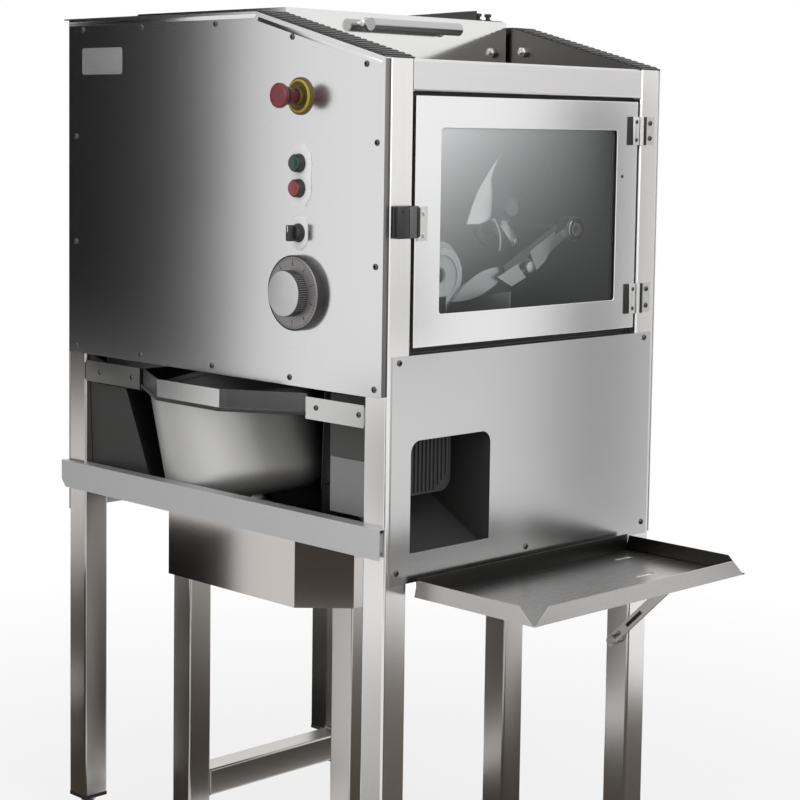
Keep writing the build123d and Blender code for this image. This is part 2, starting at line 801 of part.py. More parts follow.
tray -= rod_x(tab_left, tab_right, tray_hinge_y, tray_hinge_z, hinge_pin + running_fit)
strut_far = strut_x + strut_thick
tray += rod_x(tray_right - tray_sheet, strut_far + 1, *strut_top, strut_bolt)
tray += rod_x(strut_far + loose_fit, strut_far + 4, *strut_top, strut_bolt + 3)
tray += rod_x(tray_right, strut_x - loose_fit, *strut_top, strut_bolt + 3)
parts["tray"] = tray

tab = block(tab_left, tab_right, 0, 2, tray_hinge_z - 6, front_bottom + 18)
outer_knuckles = (
    (tab_left, inner_knuckle[0] - loose_fit),
    (inner_knuckle[1] + loose_fit, tab_right),
)
for x0, x1 in outer_knuckles:
    tab += rod_x(x0, x1, tray_hinge_y, tray_hinge_z, tray_knuckle)
    tab += block(x0, x1, tray_hinge_y, 0, tray_hinge_z - 2, tray_hinge_z + 2)
tab += rod_x(tab_left, tab_right, tray_hinge_y, tray_hinge_z, hinge_pin)

strut_run = strut_pin[0] - strut_top[0]
strut_fall = strut_top[1] - strut_pin[1]
strut_length = hypot(strut_run, strut_fall)
strut_angle = degrees(atan2(strut_run, strut_fall))
bar = Pos(strut_thick / 2, 0, -strut_length / 2 - 3) * Box(strut_thick, strut_width, strut_length + 22)
bar = fillet(bar.edges().filter_by(Axis.X), strut_width / 2 - 0.5)
bar -= rod_x(-1, strut_thick + 1, 0, 0, strut_bolt + running_fit)
slot_low = -strut_length - 2
slot_high = -strut_length + slot_travel
slot_half = strut_bolt + loose_fit
bar -= block(-1, strut_thick + 1, -slot_half, slot_half, slot_low, slot_high)
bar -= rod_x(-1, strut_thick + 1, 0, slot_low, slot_half)
bar -= rod_x(-1, strut_thick + 1, 0, slot_high, slot_half)
parts["tray_strut"] = Pos(strut_x, *strut_top) * Rot(strut_angle, 0, 0) * bar

bolt = rod_x(strut_x - 1, far_x, *strut_pin, strut_bolt)
bolt += rod_x(strut_x - 5, strut_x - loose_fit, *strut_pin, strut_bolt + 4)
bolt += rod_x(strut_far + loose_fit, far_x, *strut_pin, strut_bolt + 4)
parts["tray_fixings"] = Compound([tab, bolt])

# Door: folded sheet frame, glass, seal, hinge leaves and the keeper opposite the switch
door_sheet = 2
door_back = door_front + door_depth
seal_y = door_front + door_sheet
seal_thick = 2
door = block(door_left, door_right, door_front, door_back, door_bottom, door_top)
door -= block(
    door_left + sheet, door_right - sheet, seal_y, door_back + 1, door_bottom + sheet, door_top - sheet
)
opening = block(window_left, window_right, door_front - 1, seal_y + 3, window_bottom, window_top)
door -= fillet(opening.edges().filter_by(Axis.Y), window_corner)
parts["door_frame"] = door

pane_left, pane_right = window_left - glass_lap, window_right + glass_lap
pane_bottom, pane_top = window_bottom - glass_lap, window_top + glass_lap
glass_y = seal_y + seal_thick
seal = block(pane_left, pane_right, seal_y, glass_y, pane_bottom, pane_top)
seal -= block(
    window_left - 1, window_right + 1, seal_y - 1, glass_y + 1, window_bottom - 1, window_top + 1
)
parts["window_seal"] = seal
parts["door_glass"] = block(
    pane_left, pane_right, glass_y, glass_y + glass_thick, pane_bottom, pane_top
)

leaf_front = door_front - leaf_thick
door_leaves = []
post_leaves = []
for z0, z1 in hinge_spans:
    third = (z1 - z0) / 3
    low_third, high_third = z0 + third, z1 - third
    pin_hole = rod_z(z0 - 1, z1 + 1, hinge_x, hinge_y, hinge_pin + running_fit)
    wing = block(door_right - 20, door_right, leaf_front, door_front, z0, z1)
    wing += block(door_right - 2, hinge_x, leaf_front, door_front, low_third, high_third)
    wing += rod_z(low_third + loose_fit, high_third - loose_fit, hinge_x, hinge_y, knuckle)
    wing -= block(door_right, hinge_x + 9, -20, 0, z0, low_third + loose_fit)
    wing -= block(door_right, hinge_x + 9, -20, 0, high_third - loose_fit, z1)
    door_leaves.append(wing - pin_hole)
    post_wing = block(far_x + 1, frame_width - 15, -leaf_thick, 0, z0, z1)
    for low, high in ((z0, low_third), (high_third, z1)):
        post_wing += rod_z(low, high, hinge_x, hinge_y, knuckle)
        post_wing += block(hinge_x, far_x + 2, -leaf_thick, 0, low, high)
    post_wing += rod_z(z0, z1, hinge_x, hinge_y, hinge_pin)
    post_leaves.append(post_wing)
parts["post_hinge_leaves"] = Compound(post_leaves)

keeper_left = door_left + 2.5
keeper_z = door_bottom + 167
keeper_thick = 3
keeper_front = door_front - keeper_thick
keeper = block(keeper_left, keeper_left + 22, keeper_front, door_front, keeper_z, keeper_z + 54)
for z in (keeper_z + 9, keeper_z + 44):
    keeper += rod_y(keeper_front - 2.5, keeper_front, keeper_left + 15.5, z, 4.5)
parts["door_fittings"] = Compound(door_leaves + [keeper])
switch = block(tube - 45, tube + 2, -16, 0, keeper_z + 5, keeper_z + 56)
parts["door_switch"] = fillet(switch.edges().filter_by(Axis.Y), 3)

# Hopper lid with its polished front plate, bar handle, wedge grip and rear hinge
lid = block(lid_left, lid_right, lid_front, lid_rear, hopper_rim, lid_top)
lid -= block(
    lid_left + sheet,
    lid_right - sheet,
    lid_front + sheet,
    lid_rear - sheet,
    hopper_rim - 1,
    lid_top - sheet,
)
lid += block(lid_left, lid_right, lid_front, lid_front + sheet, lid_plate_bottom, lid_top)
lugs = []
lug_width = 20
lid_lug = 30
for x in (lid_left + 90, lid_right - 120):
    lid += rod_x(x, x + lid_lug, lid_hinge_y, lid_hinge_z, lid_knuckle)
    lid += block(x, x + lid_lug, lid_rear - 2, lid_hinge_y, lid_hinge_z - 2, lid_hinge_z + 2)
    lid -= rod_x(x - 1, x + lid_lug + 1, lid_hinge_y, lid_hinge_z, lid_pin + running_fit)
    lug = rod_x(x - lug_width, x + lid_lug + lug_width, lid_hinge_y, lid_hinge_z, lid_pin)
    for x0 in (x - lug_width, x + lid_lug + loose_fit):
        x1 = x0 + lug_width - loose_fit
        lug += rod_x(x0, x1, lid_hinge_y, lid_hinge_z, lid_knuckle)
        lug += block(x0, x1, lid_hinge_y, lid_hinge_y + 24, panel_top + sheet, lid_hinge_z)
    lugs.append(lug)
parts["hopper_lid"] = lid
parts["lid_hinge"] = Compound(lugs)

handle_left = lid_left + 166
handle_length = 216
handle_stand = 30
handle_drop = 21
handle_y = lid_front - handle_stand
handle_z = lid_top - handle_drop
handle = rod_x(handle_left, handle_left + handle_length, handle_y, handle_z, 11)
for x in (handle_left + 18, handle_left + handle_length - 18):
    handle += rod_y(handle_y, lid_front, x, handle_z, 7)
parts["lid_handle"] = handle
wedge_right = lid_right - 73
wedge_length = 179
wedge_height = 18
wedge = [
    (wedge_right - wedge_length, lid_top),
    (wedge_right, lid_top),
    (wedge_right, lid_top + wedge_height),
]
parts["lid_wedge"] = prism_y(wedge, lid_front + 6, lid_front + 30)

# Controls: stop mushroom, start and stop buttons, selector, dial and blank plates
ring_thick = 4
ring_face = panel_face - ring_thick
bore = button_radius + loose_fit
ring = rod_x(ring_face, panel_face, control_y, estop_z, 30)
parts["estop_ring"] = ring - rod_x(ring_face - 1, panel_face + 1, control_y, estop_z, bore)

legend_face = panel_face - plate_thick
legend_front, legend_rear = control_y - 27, control_y + 26
legend_low, legend_high = stop_z - 27, start_z + 29
legend_corner = (7, 8)
corner_y, corner_z = legend_corner
legend_outline = [
    (legend_front + corner_y, legend_low),
    (legend_rear - corner_y, legend_low),
    (legend_rear, legend_low + corner_z),
    (legend_rear, legend_high - corner_z),
    (legend_rear - corner_y, legend_high),
    (legend_front + corner_y, legend_high),
    (legend_front, legend_high - corner_z),
    (legend_front, legend_low + corner_z),
]
legend = prism_x(legend_outline, legend_face, panel_face)
for z in (start_z, stop_z):
    legend -= rod_x(legend_face - 1, panel_face + 1, control_y, z, bore)
oval_half = 19.5
oval_rise = 8
oval = block(
    legend_face,
    panel_face,
    control_y - oval_half,
    control_y + oval_half,
    selector_z - oval_rise,
    selector_z + oval_rise,
)
for z in (selector_z - oval_rise, selector_z + oval_rise):
    oval += rod_x(legend_face, panel_face, control_y, z, oval_half)
oval -= rod_x(legend_face - 1, panel_face + 1, control_y, selector_z, bore)
blank = block(
    panel_face - 1, panel_face, panel_end - 158, panel_end - 41, panel_top - 98, panel_top - 51
)
parts["legend_plates"] = Compound([legend, oval, blank])

bezels = []
for z, seat, height in (
    (estop_z, ring_face, 22),
    (start_z, legend_face, 7),
    (stop_z, legend_face, 7),
    (selector_z, legend_face, 5),
):
    bezel = rod_x(seat - height, seat, control_y, z, button_radius + 3)
    bezels.append(bezel - rod_x(seat - height - 1, seat + 1, control_y, z, bore))
parts["switch_bezels"] = Compound(bezels)

stem_end = 2
head_face = panel_face - 54
head_thick = 16
head = rod_x(head_face, head_face + head_thick, control_y, estop_z, 20)
head = fillet(head.edges().group_by(Axis.X)[0], 7)
stem = rod_x(head_face + head_thick - 2, stem_end, control_y, estop_z, button_radius)
parts["estop_button"] = head + stem
for name, z in (("start_button", start_z), ("stop_button", stop_z)):
    cap = rod_x(legend_face - 9, stem_end, control_y, z, button_radius)
    parts[name] = fillet(cap.edges().group_by(Axis.X)[0], 1.5)

knob_seat = legend_face - 12
knob = rod_x(knob_seat, stem_end, control_y, selector_z, button_radius)
knob += block(
    knob_seat - 12, knob_seat, control_y - 5, control_y + 5, selector_z - 13, selector_z + 13
)
knob += rod_x(knob_seat, legend_face - 5 - loose_fit, control_y, selector_z, button_radius + 2)
parts["selector_knob"] = knob

scale_face = panel_face - 14
dial_face = scale_face - 20
scale = rod_x(scale_face, panel_face, control_y, dial_z, dial_radius)
scale = chamfer(scale.edges().group_by(Axis.X)[0], 3)
scale -= rod_x(scale_face - 4, panel_face + 12, control_y, dial_z, dial_stem + loose_fit)
parts["dial_scale"] = scale
dial = rod_x(dial_face, scale_face - loose_fit, control_y, dial_z, knob_radius)
dial = fillet(dial.edges().group_by(Axis.X)[0], 4)
parts["dial_knob"] = dial + rod_x(scale_face - 4, stem_end, control_y, dial_z, dial_stem)

block_half = 18
block_front = panel_face + sheet
block_rear = panel_face + 54
contacts = []
for z in (estop_z, start_z, stop_z, selector_z, dial_z):
    case = block(
        block_front,
        block_rear,
        control_y - block_half,
        control_y + block_half,
        z - block_half,
        z + block_half,
    )
    contacts.append(case - rod_x(block_front - 1, stem_end + 7, control_y, z, bore))
parts["switch_blocks"] = Compound(contacts)

# Screw heads on the panel, the front plate, the post hinge leaves, the collar and the guard
head_high = 2.5
small_head = 4.5
large_head = 5
panel_screws = [(y, panel_bottom + 13) for y in (16, 212, 409, panel_end - 214, panel_end - 23)]
panel_screws += [(y, z) for y in (16, panel_end - 22) for z in (panel_top - 398, panel_top - 208)]
panel_screws += [(41, post_top - 10), (213, post_top + 35)]
panel_screws += [(y, panel_top - 18) for y in (405, panel_end - 214, panel_end - 42)]
heads = [rod_x(panel_face - head_high, panel_face, y, z, large_head) for y, z in panel_screws]
collar_screws = (tube + 10, collar_front - 25, collar_rear + 27, far_y - 47)
for y in collar_screws:
    heads.append(rod_x(-collar_sheet - head_high, -collar_sheet, y, collar_z + 11, small_head))
front_screws = [
    (front_left + 15, front_top - 10),
    (front_right - 18, front_top - 9),
    (front_left + 14, front_bottom + 20),
    (front_left + 318, front_bottom + 20),
    (front_right - 14, front_bottom + 21),
]
heads += [rod_y(-front_thick - head_high, -front_thick, x, z, large_head) for x, z in front_screws]
for z0, z1 in hinge_spans:
    for z in (z0 + 12, z1 - 11):
        heads.append(rod_y(-leaf_thick - head_high, -leaf_thick, frame_width - 26, z, small_head))
guard_screw = (guard_corner_x + 26, guard_bottom + 55)
heads.append(rod_y(guard_corner_y - head_high, guard_corner_y, *guard_screw, small_head))
parts["cover_screws"] = Compound(heads)

# The shared origin is on the floor, under the middle of the whole outline
boxes = [shape.bounding_box() for shape in parts.values()]
middle_x = (min(b.min.X for b in boxes) + max(b.max.X for b in boxes)) / 2
middle_y = (min(b.min.Y for b in boxes) + max(b.max.Y for b in boxes)) / 2

os.makedirs("parts", exist_ok=True)
for name, shape in parts.items():
    export_step(Pos(-middle_x, -middle_y, 0) * shape, f"parts/{name}.step")
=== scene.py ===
from math import atan2, cos, hypot, pi, radians, sin

import bmesh
import bpy
from mathutils import Matrix, Vector


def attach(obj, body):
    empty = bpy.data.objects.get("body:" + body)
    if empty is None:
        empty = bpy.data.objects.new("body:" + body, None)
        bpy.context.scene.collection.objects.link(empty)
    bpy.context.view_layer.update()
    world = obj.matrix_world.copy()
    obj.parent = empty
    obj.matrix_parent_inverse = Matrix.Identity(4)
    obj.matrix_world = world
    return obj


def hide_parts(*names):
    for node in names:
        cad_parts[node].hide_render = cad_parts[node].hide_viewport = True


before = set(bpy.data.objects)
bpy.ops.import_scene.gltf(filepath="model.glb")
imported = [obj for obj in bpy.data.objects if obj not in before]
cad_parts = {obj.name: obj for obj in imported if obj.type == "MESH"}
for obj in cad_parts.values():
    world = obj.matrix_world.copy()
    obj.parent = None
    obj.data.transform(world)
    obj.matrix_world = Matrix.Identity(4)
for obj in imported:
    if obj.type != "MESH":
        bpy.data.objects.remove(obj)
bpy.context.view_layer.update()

# Studio: a pale paper floor that fades into white, under two large soft lamps.
# Cards of cloth that only reflections see give the brushed steel its dark and grey sides.
# The camera stands where the photograph was taken from.
scene = bpy.context.scene
scene.view_settings.view_transform = "Standard"


class Wire:
    # A node socket that can be added, multiplied and compared like a number
    def __init__(self, tree, socket=None):
        self.tree = tree
        self.socket = socket

    def node(self, kind, settings, inputs, output=0):
        made = self.tree.nodes.new(kind)
        for key, value in settings.items():
            setattr(made, key, value)
        for key, value in inputs.items():
            if isinstance(value, Wire):
                self.tree.links.new(value.socket, made.inputs[key])
            else:
                made.inputs[key].default_value = value
        return Wire(self.tree, made.outputs[output] if made.outputs else None)

    def math(self, operation, first, second):
        return self.node("ShaderNodeMath", {"operation": operation}, {0: first, 1: second})

    def __add__(self, other):
        return self.math("ADD", self, other)

    def __radd__(self, other):
        return self.math("ADD", other, self)

    def __sub__(self, other):
        return self.math("SUBTRACT", self, other)

    def __rsub__(self, other):
        return self.math("SUBTRACT", other, self)

    def __mul__(self, other):
        return self.math("MULTIPLY", self, other)

    def __rmul__(self, other):
        return self.math("MULTIPLY", other, self)

    def __gt__(self, other):
        return self.math("GREATER_THAN", self, other)

    def __lt__(self, other):
        return self.math("LESS_THAN", self, other)


def new_tree(owner):
    owner.use_nodes = True
    owner.node_tree.nodes.clear()
    return Wire(owner.node_tree)


def seen_rays(wire):
    # 1 where the camera, a reflection or a view through glass looks, 0 for the light itself
    camera_ray, glossy_ray, through_ray = [
        wire.node("ShaderNodeLightPath", {}, {}, f"Is {kind} Ray")
        for kind in ("Camera", "Glossy", "Transmission")
    ]
    return wire.math("MAXIMUM", camera_ray, wire.math("MAXIMUM", glossy_ray, through_ray))


def noise(wire, place, scale, detail=3.0):
    # Random marks, so many to a metre: one number for all directions or one for each axis
    scales = (scale,) * 3 if isinstance(scale, float) else scale
    stretched = wire.node("ShaderNodeMapping", {}, {0: place, 3: scales})
    sizes = {"Vector": stretched, "Scale": 1.0, "Detail": detail}
    return wire.node("ShaderNodeTexNoise", {}, sizes)


def grey(tone):
    return (tone, tone, tone)


def blend(wire, factor, first, second):
    # Mixes two colours, each a plain tone or a wire
    pair = [tone if isinstance(tone, Wire) else (*tone, 1) for tone in (first, second)]
    settings = {"data_type": "RGBA", "clamp_factor": True}
    return wire.node("ShaderNodeMix", settings, {0: factor, 6: pair[0], 7: pair[1]}, 2)


sky_light = 0.5
world = bpy.data.worlds.new("studio_white")
scene.world = world
air = new_tree(world)
sky = sky_light + (1 - sky_light) * seen_rays(air)
glow = air.node("ShaderNodeBackground", {}, {"Color": (1, 1, 1, 1), "Strength": sky})
air.node("ShaderNodeOutputWorld", {}, {"Surface": glow})


def add_object(name, bm, material):
    mesh = bpy.data.meshes.new(name)
    bm.to_mesh(mesh)
    bm.free()
    mesh.materials.append(material)
    made = bpy.data.objects.new(name, mesh)
    scene.collection.objects.link(made)
    return made


def blank_face(bm, corners):
    return bm.faces.new([bm.verts.new(corner) for corner in corners])


def stand_in_studio(name, corners, material):
    bm = bmesh.new()
    blank_face(bm, corners)
    made = add_object(name, bm, material)
    return made


near_glow = 0.78
paper = bpy.data.materials.new("studio_paper")
wire = new_tree(paper)
place = wire.node("ShaderNodeTexCoord", {}, {}, "Object")
fibre = noise(wire, place, 60.0, 4.0)
far = wire.node("ShaderNodeVectorMath", {"operation": "LENGTH"}, {0: place}, 1)
fade_rate, fade_start = 0.7, 0.6
clamped = {"operation": "SUBTRACT", "use_clamp": True}
fade = wire.node("ShaderNodeMath", clamped, {0: far * fade_rate, 1: fade_start})
paper_tone = blend(wire, fibre, grey(0.86), grey(0.9))
matt = wire.node("ShaderNodeBsdfDiffuse", {}, {"Color": paper_tone})
white = wire.node("ShaderNodeEmission", {}, {"Color": (1, 1, 1, 1), "Strength": 1.0})
whiteness = seen_rays(wire) * (near_glow + (1 - near_glow) * fade)
both = wire.node("ShaderNodeMixShader", {}, {0: whiteness, 1: matt, 2: white})
wire.node("ShaderNodeOutputMaterial", {}, {"Surface": both})
stand_in_studio("studio_floor", [(-14, -14, 0), (14, -14, 0), (14, 14, 0), (-14, 14, 0)], paper)


def cloth(name, dark, light):
    material = bpy.data.materials.new(name)
    wire = new_tree(material)
    place = wire.node("ShaderNodeTexCoord", {}, {}, "Object")
    weave = noise(wire, place, 40.0)
    matt = wire.node("ShaderNodeBsdfDiffuse", {}, {"Color": blend(wire, weave, dark, light)})
    wire.node("ShaderNodeOutputMaterial", {}, {"Surface": matt})
    return material


black_cloth = cloth("black_cloth", grey(0.006), grey(0.014))
brown_cloth = cloth("brown_cloth", (0.105, 0.087, 0.071), (0.135, 0.113, 0.094))
warm_cloth = cloth("warm_cloth", (0.135, 0.112, 0.092), (0.17, 0.143, 0.119))
pale_cloth = cloth("pale_cloth", (0.46, 0.45, 0.44), (0.54, 0.53, 0.52))
grey_cloth = cloth("grey_cloth", grey(0.24), grey(0.30))
card_lift = 0.004


def upright(start, end, low, high):
    (x0, y0), (x1, y1) = start, end
    return [(x0, y0, low), (x1, y1, low), (x1, y1, high), (x0, y0, high)]


def laid(*corners):
    return [(x, y, card_lift) for x, y in corners]


def on_floor(x0, x1, y0, y1):
    return laid((x0, y0), (x1, y0), (x1, y1), (x0, y1))


for name, corners, material in (
    ("card_rear_left", upright((-1.3, 1.25), (-1.3, 5.0), 0.55, 3.6), black_cloth),
    ("card_rear_left_foot", upright((-1.3, 1.25), (-1.3, 1.75), 0.0, 0.3), black_cloth),
    ("card_left", upright((-2.4, -0.2), (-2.2, -1.2), 0.0, 0.8), black_cloth),
    ("card_camera_foot", upright((-1.9, -1.2), (-1.2, -1.9), 0.0, 0.4), brown_cloth),
    ("card_right", upright((1.27, -1.29), (1.56, -1.29), 0.25, 1.42), black_cloth),
    ("card_low_front", on_floor(-0.3, 1.15, -2.15, 0.2), warm_cloth),
    ("card_post", [(0.725, -1.29, 1.2), (0.63, -1.29, 0.8), (0.80, -1.29, 0.8)], grey_cloth),
    ("card_low_left", on_floor(-1.5, -0.76, 1.35, 2.4), brown_cloth),
    ("card_low_rear", on_floor(-0.75, 1.3, 0.95, 2.4), black_cloth),
    ("card_low_behind", on_floor(-0.185, 0.6, 0.57, 0.945), black_cloth),
    (
        "card_low_post",
        laid((-0.33, -0.09), (-0.47, -0.23), (-1.67, 0.97), (-1.53, 1.11)),
        pale_cloth,
    ),
    ("card_left_post", upright((-1.3, 0.5), (-1.3, 0.8), 0.38, 0.69), grey_cloth),
    ("card_low_corner", on_floor(-0.62, -0.19, 0.36, 0.94), brown_cloth),
    ("card_low_side", upright((-0.45, 0.28), (-0.45, 0.71), card_lift, 0.42), brown_cloth),
):
    card = stand_in_studio(name, corners, material)
    for ray in ("camera", "diffuse", "shadow", "transmission"):
        setattr(card, f"visible_{ray}", False)

lit_point = Vector((0, 0, 0.9))
for name, spot, size, power in (
    ("lamp_front", (-0.4, -3.6, 3.2), 3.2, 45),
    ("lamp_left", (-3.6, -0.2, 2.8), 3.0, 40),
):
    lamp = bpy.data.lights.new(name, "AREA")
    lamp.size = size
    lamp.energy = power
    lamp_object = bpy.data.objects.new(name, lamp)
    lamp_object.location = spot
    aim = lit_point - Vector(spot)
    lamp_object.rotation_euler = aim.to_track_quat("-Z", "Y").to_euler()
    scene.collection.objects.link(lamp_object)

camera = bpy.data.cameras.new("camera")
camera.sensor_width = 36
camera.lens = 88.166
camera.shift_y = -0.13
camera_spot = (-2.3878, -2.4282, 1.2988)
yaw, pitch, roll = radians(44.7992), radians(4.8999), radians(-0.8259)
ahead = Vector((sin(yaw) * cos(pitch), cos(yaw) * cos(pitch), -sin(pitch)))
level = Vector((cos(yaw), -sin(yaw), 0))
above = level.cross(ahead)
right = level * cos(roll) - above * sin(roll)
top = level * sin(roll) + above * cos(roll)
camera_turn = Matrix((right, top, -ahead)).transposed().to_4x4()
camera_object = bpy.data.objects.new("camera", camera)
camera_object.matrix_world = Matrix.Translation(camera_spot) @ camera_turn
scene.collection.objects.link(camera_object)
scene.camera = camera_object

# Tube frame: four square stainless posts, the top rails and the inner stand, made of 50 mm tube
# with rounded corners. The joints are welded and ground.
X, Y, Z = range(3)


def surface(name):
    material = bpy.data.materials.new(name)
    wire = new_tree(material)
    shader = wire.node("ShaderNodeBsdfPrincipled", {}, {})
    wire.node("ShaderNodeOutputMaterial", {}, {"Surface": shader})
    place = wire.node("ShaderNodeTexCoord", {}, {}, "Object")
    return material, wire, shader.socket.node, place


def feed(wire, shader, **values):
    for key, value in values.items():
        socket = shader.inputs[key.replace("_", " ")]
        if isinstance(value, Wire):
            wire.tree.links.new(value.socket, socket)
        else:
            socket.default_value = value


def coordinate(wire, vector, axis):
    return wire.node("ShaderNodeSeparateXYZ", {}, {0: vector}, axis)


def shades(tone, darker, lighter, lift=0.0):
    # The two ends of a finish's colour variation
    return [c * darker for c in tone], [min(1.0, c * lighter + lift) for c in tone]


def bump(wire, height, strength, distance):
    sizes = {"Strength": strength, "Distance": distance, "Height": height}
    return wire.node("ShaderNodeBump", {}, sizes)


def brushed(name, tone, rough, along, contrast=0.1, metal=1.0, spread=0.08, painted_shade=None):
    # Brushed stainless: long fine scratches along one axis, soft cloudy wipe marks over them.
    # Past a plane (axis, place, tone) the sheet can take a darker colour, painted as shade.
    material, wire, shader, place = surface(name)
    fine, broad = [1400.0] * 3, [160.0] * 3
    fine[along], broad[along] = 9.0, 2.5
    scratch = noise(wire, place, fine, 2.0)
    band = noise(wire, place, broad, 3.0)
    wipe = noise(wire, place, 3.1, 4.0)
    mixed = scratch * 0.5 + band * 0.3 + wipe * 0.2
    colour = blend(wire, mixed, *shades(tone, 1 - contrast, 1 + contrast))
    if painted_shade:
        axis, limit, shade_tone = painted_shade
        colour = blend(wire, coordinate(wire, place, axis) > limit, colour, shade_tone)
    feed(
        wire, shader,
        Base_Color=colour,
        Roughness=rough - spread + spread * scratch + spread * wipe,
        Metallic=metal,
        Normal=bump(wire, scratch, 0.006, 0.0004),
    )
    return material


def dress(material, *names):
    for name in names:
        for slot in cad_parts[name].material_slots:
            slot.material = material


def ease_edges(width, *names):
    # Bent and ground edges are never quite sharp, so they catch a line of light
    for name in names:
        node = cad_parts[name]
        joined = node.modifiers.new("joined", "WELD")
        joined.merge_threshold = 0.00001
        eased = node.modifiers.new("eased", "BEVEL")
        eased.width = width / 1000
        eased.segments = 3
        eased.limit_method = "ANGLE"
        eased.angle_limit = radians(40)
        eased.harden_normals = True


tube_steel = brushed("tube_steel", (0.82, 0.81, 0.80), 0.23, Z, contrast=0.07, spread=0.05)
stand_steel = brushed("stand_steel", (0.56, 0.54, 0.52), 0.25, Z, contrast=0.06, spread=0.04)
dress(tube_steel, "front_posts")
dress(stand_steel, "rear_posts", "rounder_stand")
dress(brushed("rail_steel", (0.72, 0.71, 0.71), 0.32, X), "top_rails")
ease_edges(3.0, "front_posts", "rear_posts", "rounder_stand", "top_rails")

# Levelling feet: black moulded feet on threaded stems, under the posts and the stand.
# A steel nut and a collar lock each stem.
origin_x, origin_y = 290.75, 290.5
up = (0, 0, 1)


def at(x, y, z):
    # Millimetres from the left front corner of the frame on the floor, as the drawing has them
    return Vector(((x - origin_x) / 1000, (y - origin_y) / 1000, z / 1000))


def moulded(name, colour, rough, coat=0.0, panel_side_shade=None):
    # Moulded plastic or rubber: a fine pebbled skin with slightly uneven gloss.
    # A knob can take a painted shade colour on its side towards the wall it stands on, which lies
    # at +X.
    material, wire, shader, place = surface(name)
    pebble = noise(wire, place, 900.0, 2.0)
    patch = noise(wire, place, 14.0, 3.0)
    tint = blend(wire, patch * 0.6 + pebble * 0.4, *shades(colour, 0.82, 1.14, 0.004))
    if panel_side_shade:
        facing = wire.node("ShaderNodeTexCoord", {}, {}, "Normal")
        tint = blend(wire, coordinate(wire, facing, X) * 0.5 + 0.5, tint, panel_side_shade)
    feed(
        wire, shader,
        Base_Color=tint,
        Roughness=rough - 0.06 + 0.12 * patch,
        Coat_Weight=coat,
        Normal=bump(wire, pebble, 0.12, 0.0003),
    )
    return material


def piece(name, bm, body, material):
    bmesh.ops.recalc_face_normals(bm, faces=bm.faces)
    made = add_object(name, bm, material)
    made.data.shade_smooth()
    made.data.set_sharp_from_angle(angle=radians(35))
    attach(made, body)
    return made


def turned(bm, base, axis, profile, steps):
    # A turned shape: profile gives (distance along the axis, radius) in millimetres
    axis = Vector(axis).normalized()
    side = axis.orthogonal().normalized()
    verts = [bm.verts.new(base + axis * (d / 1000) + side * (r / 1000)) for d, r in profile]
    edges = [bm.edges.new(pair) for pair in zip(verts, verts[1:])]
    bmesh.ops.spin(
        bm, geom=verts + edges, cent=base, axis=axis, dvec=(0, 0, 0),
        angle=2 * pi, steps=steps, use_merge=True,
    )
    bmesh.ops.remove_doubles(bm, verts=bm.verts, dist=1e-7)


def set_on(bm, verts, axis, spot):
    # Turns a shape that was made upright to stand along an axis, and moves it to its spot
    turn = Vector(up).rotation_difference(axis).to_matrix()
    bmesh.ops.rotate(bm, verts=verts, cent=(0, 0, 0), matrix=turn)
    bmesh.ops.translate(bm, verts=verts, vec=spot)


def edges_of(verts):
    return list({edge for vert in verts for edge in vert.link_edges})


def round_off(bm, edges, width):
    bmesh.ops.bevel(
        bm, geom=edges, offset=width, segments=2, profile=0.5, affect="EDGES", material=-1
    )


def hexagon(bm, base, axis, across, height):
    # A nut or bolt head: six flats with the corners turned off at both ends
    axis = Vector(axis)
    radius = across / 1732
    made = bmesh.ops.create_cone(
        bm, cap_ends=True, segments=6, radius1=radius, radius2=radius, depth=height / 1000
    )["verts"]
    set_on(bm, made, axis, base + axis * (height / 2000))
    round_off(bm, edges_of(made), across / 18000)


black_rubber = moulded("black_rubber", grey(0.018), 0.62)
bolt_steel = brushed("bolt_steel", (0.66, 0.65, 0.64), 0.28, Z, contrast=0.08)
dress(black_rubber, "levelling_feet")
tube_middle = 25
standing_tubes = [(x, y) for x in (0, 610) for y in (0, 786)]
standing_tubes += [(x, y) for x in (107, 489) for y in (185, 612)]
lock_collar = [(0, 8.4), (2, 12), (4, 12), (6, 8.4)]
bm = bmesh.new()
for x, y in standing_tubes:
    hexagon(bm, at(x + tube_middle, y + tube_middle, 34), up, 24, 9)
    turned(bm, at(x + tube_middle, y + tube_middle, 18), up, lock_collar, 20)
piece("foot_lock_nuts", bm, "frame", bolt_steel)

# Weld beads: the low rail is welded between the rear legs of the stand and the top rails
# between the posts. A rippled bead of steel runs along each joint.
weld_steel = brushed("weld_steel", (0.46, 0.44, 0.42), 0.42, Z, contrast=0.2)
ripples, ripple_radius = 24, 0.0019


def bead(bm, start, end):
    for step in range(ripples):
        spot = start.lerp(end, (step + 0.5) / ripples)
        made = bmesh.ops.create_icosphere(bm, subdivisions=1, radius=ripple_radius)["verts"]
        bmesh.ops.translate(bm, verts=made, vec=spot)


low_rail_top, top_rail_foot = 110, 1356
bm = bmesh.new()
for x in (157, 489):
    bead(bm, at(x, 612, 62), at(x, 612, 108))
    bead(bm, at(x, 614, low_rail_top), at(x, 660, low_rail_top))
for x in (50, 610):
    bead(bm, at(x, 2, top_rail_foot), at(x, 48, top_rail_foot))
piece("weld_beads", bm, "frame", weld_steel)

# Side walls: satin stainless sheets hung on the posts, with screwed edges and folded tops.
# The control panel on the left is the deepest, and the inner walls close the recess.
panel_sheet = brushed("panel_sheet", (0.72, 0.72, 0.725), 0.20, Y, contrast=0.04, spread=0.02)
dress(panel_sheet, "control_panel")
dress(brushed("side_sheet", grey(0.66), 0.34, Y, contrast=0.06), "right_side_panel")
# The inner walls' dark tone is painted shade inside the recess.
dress(brushed("recess_shade_sheet", (0.15, 0.147, 0.143), 0.34, Y), "inner_walls")
dress(brushed("rear_sheet", grey(0.64), 0.35, X, contrast=0.07), "rear_panel")

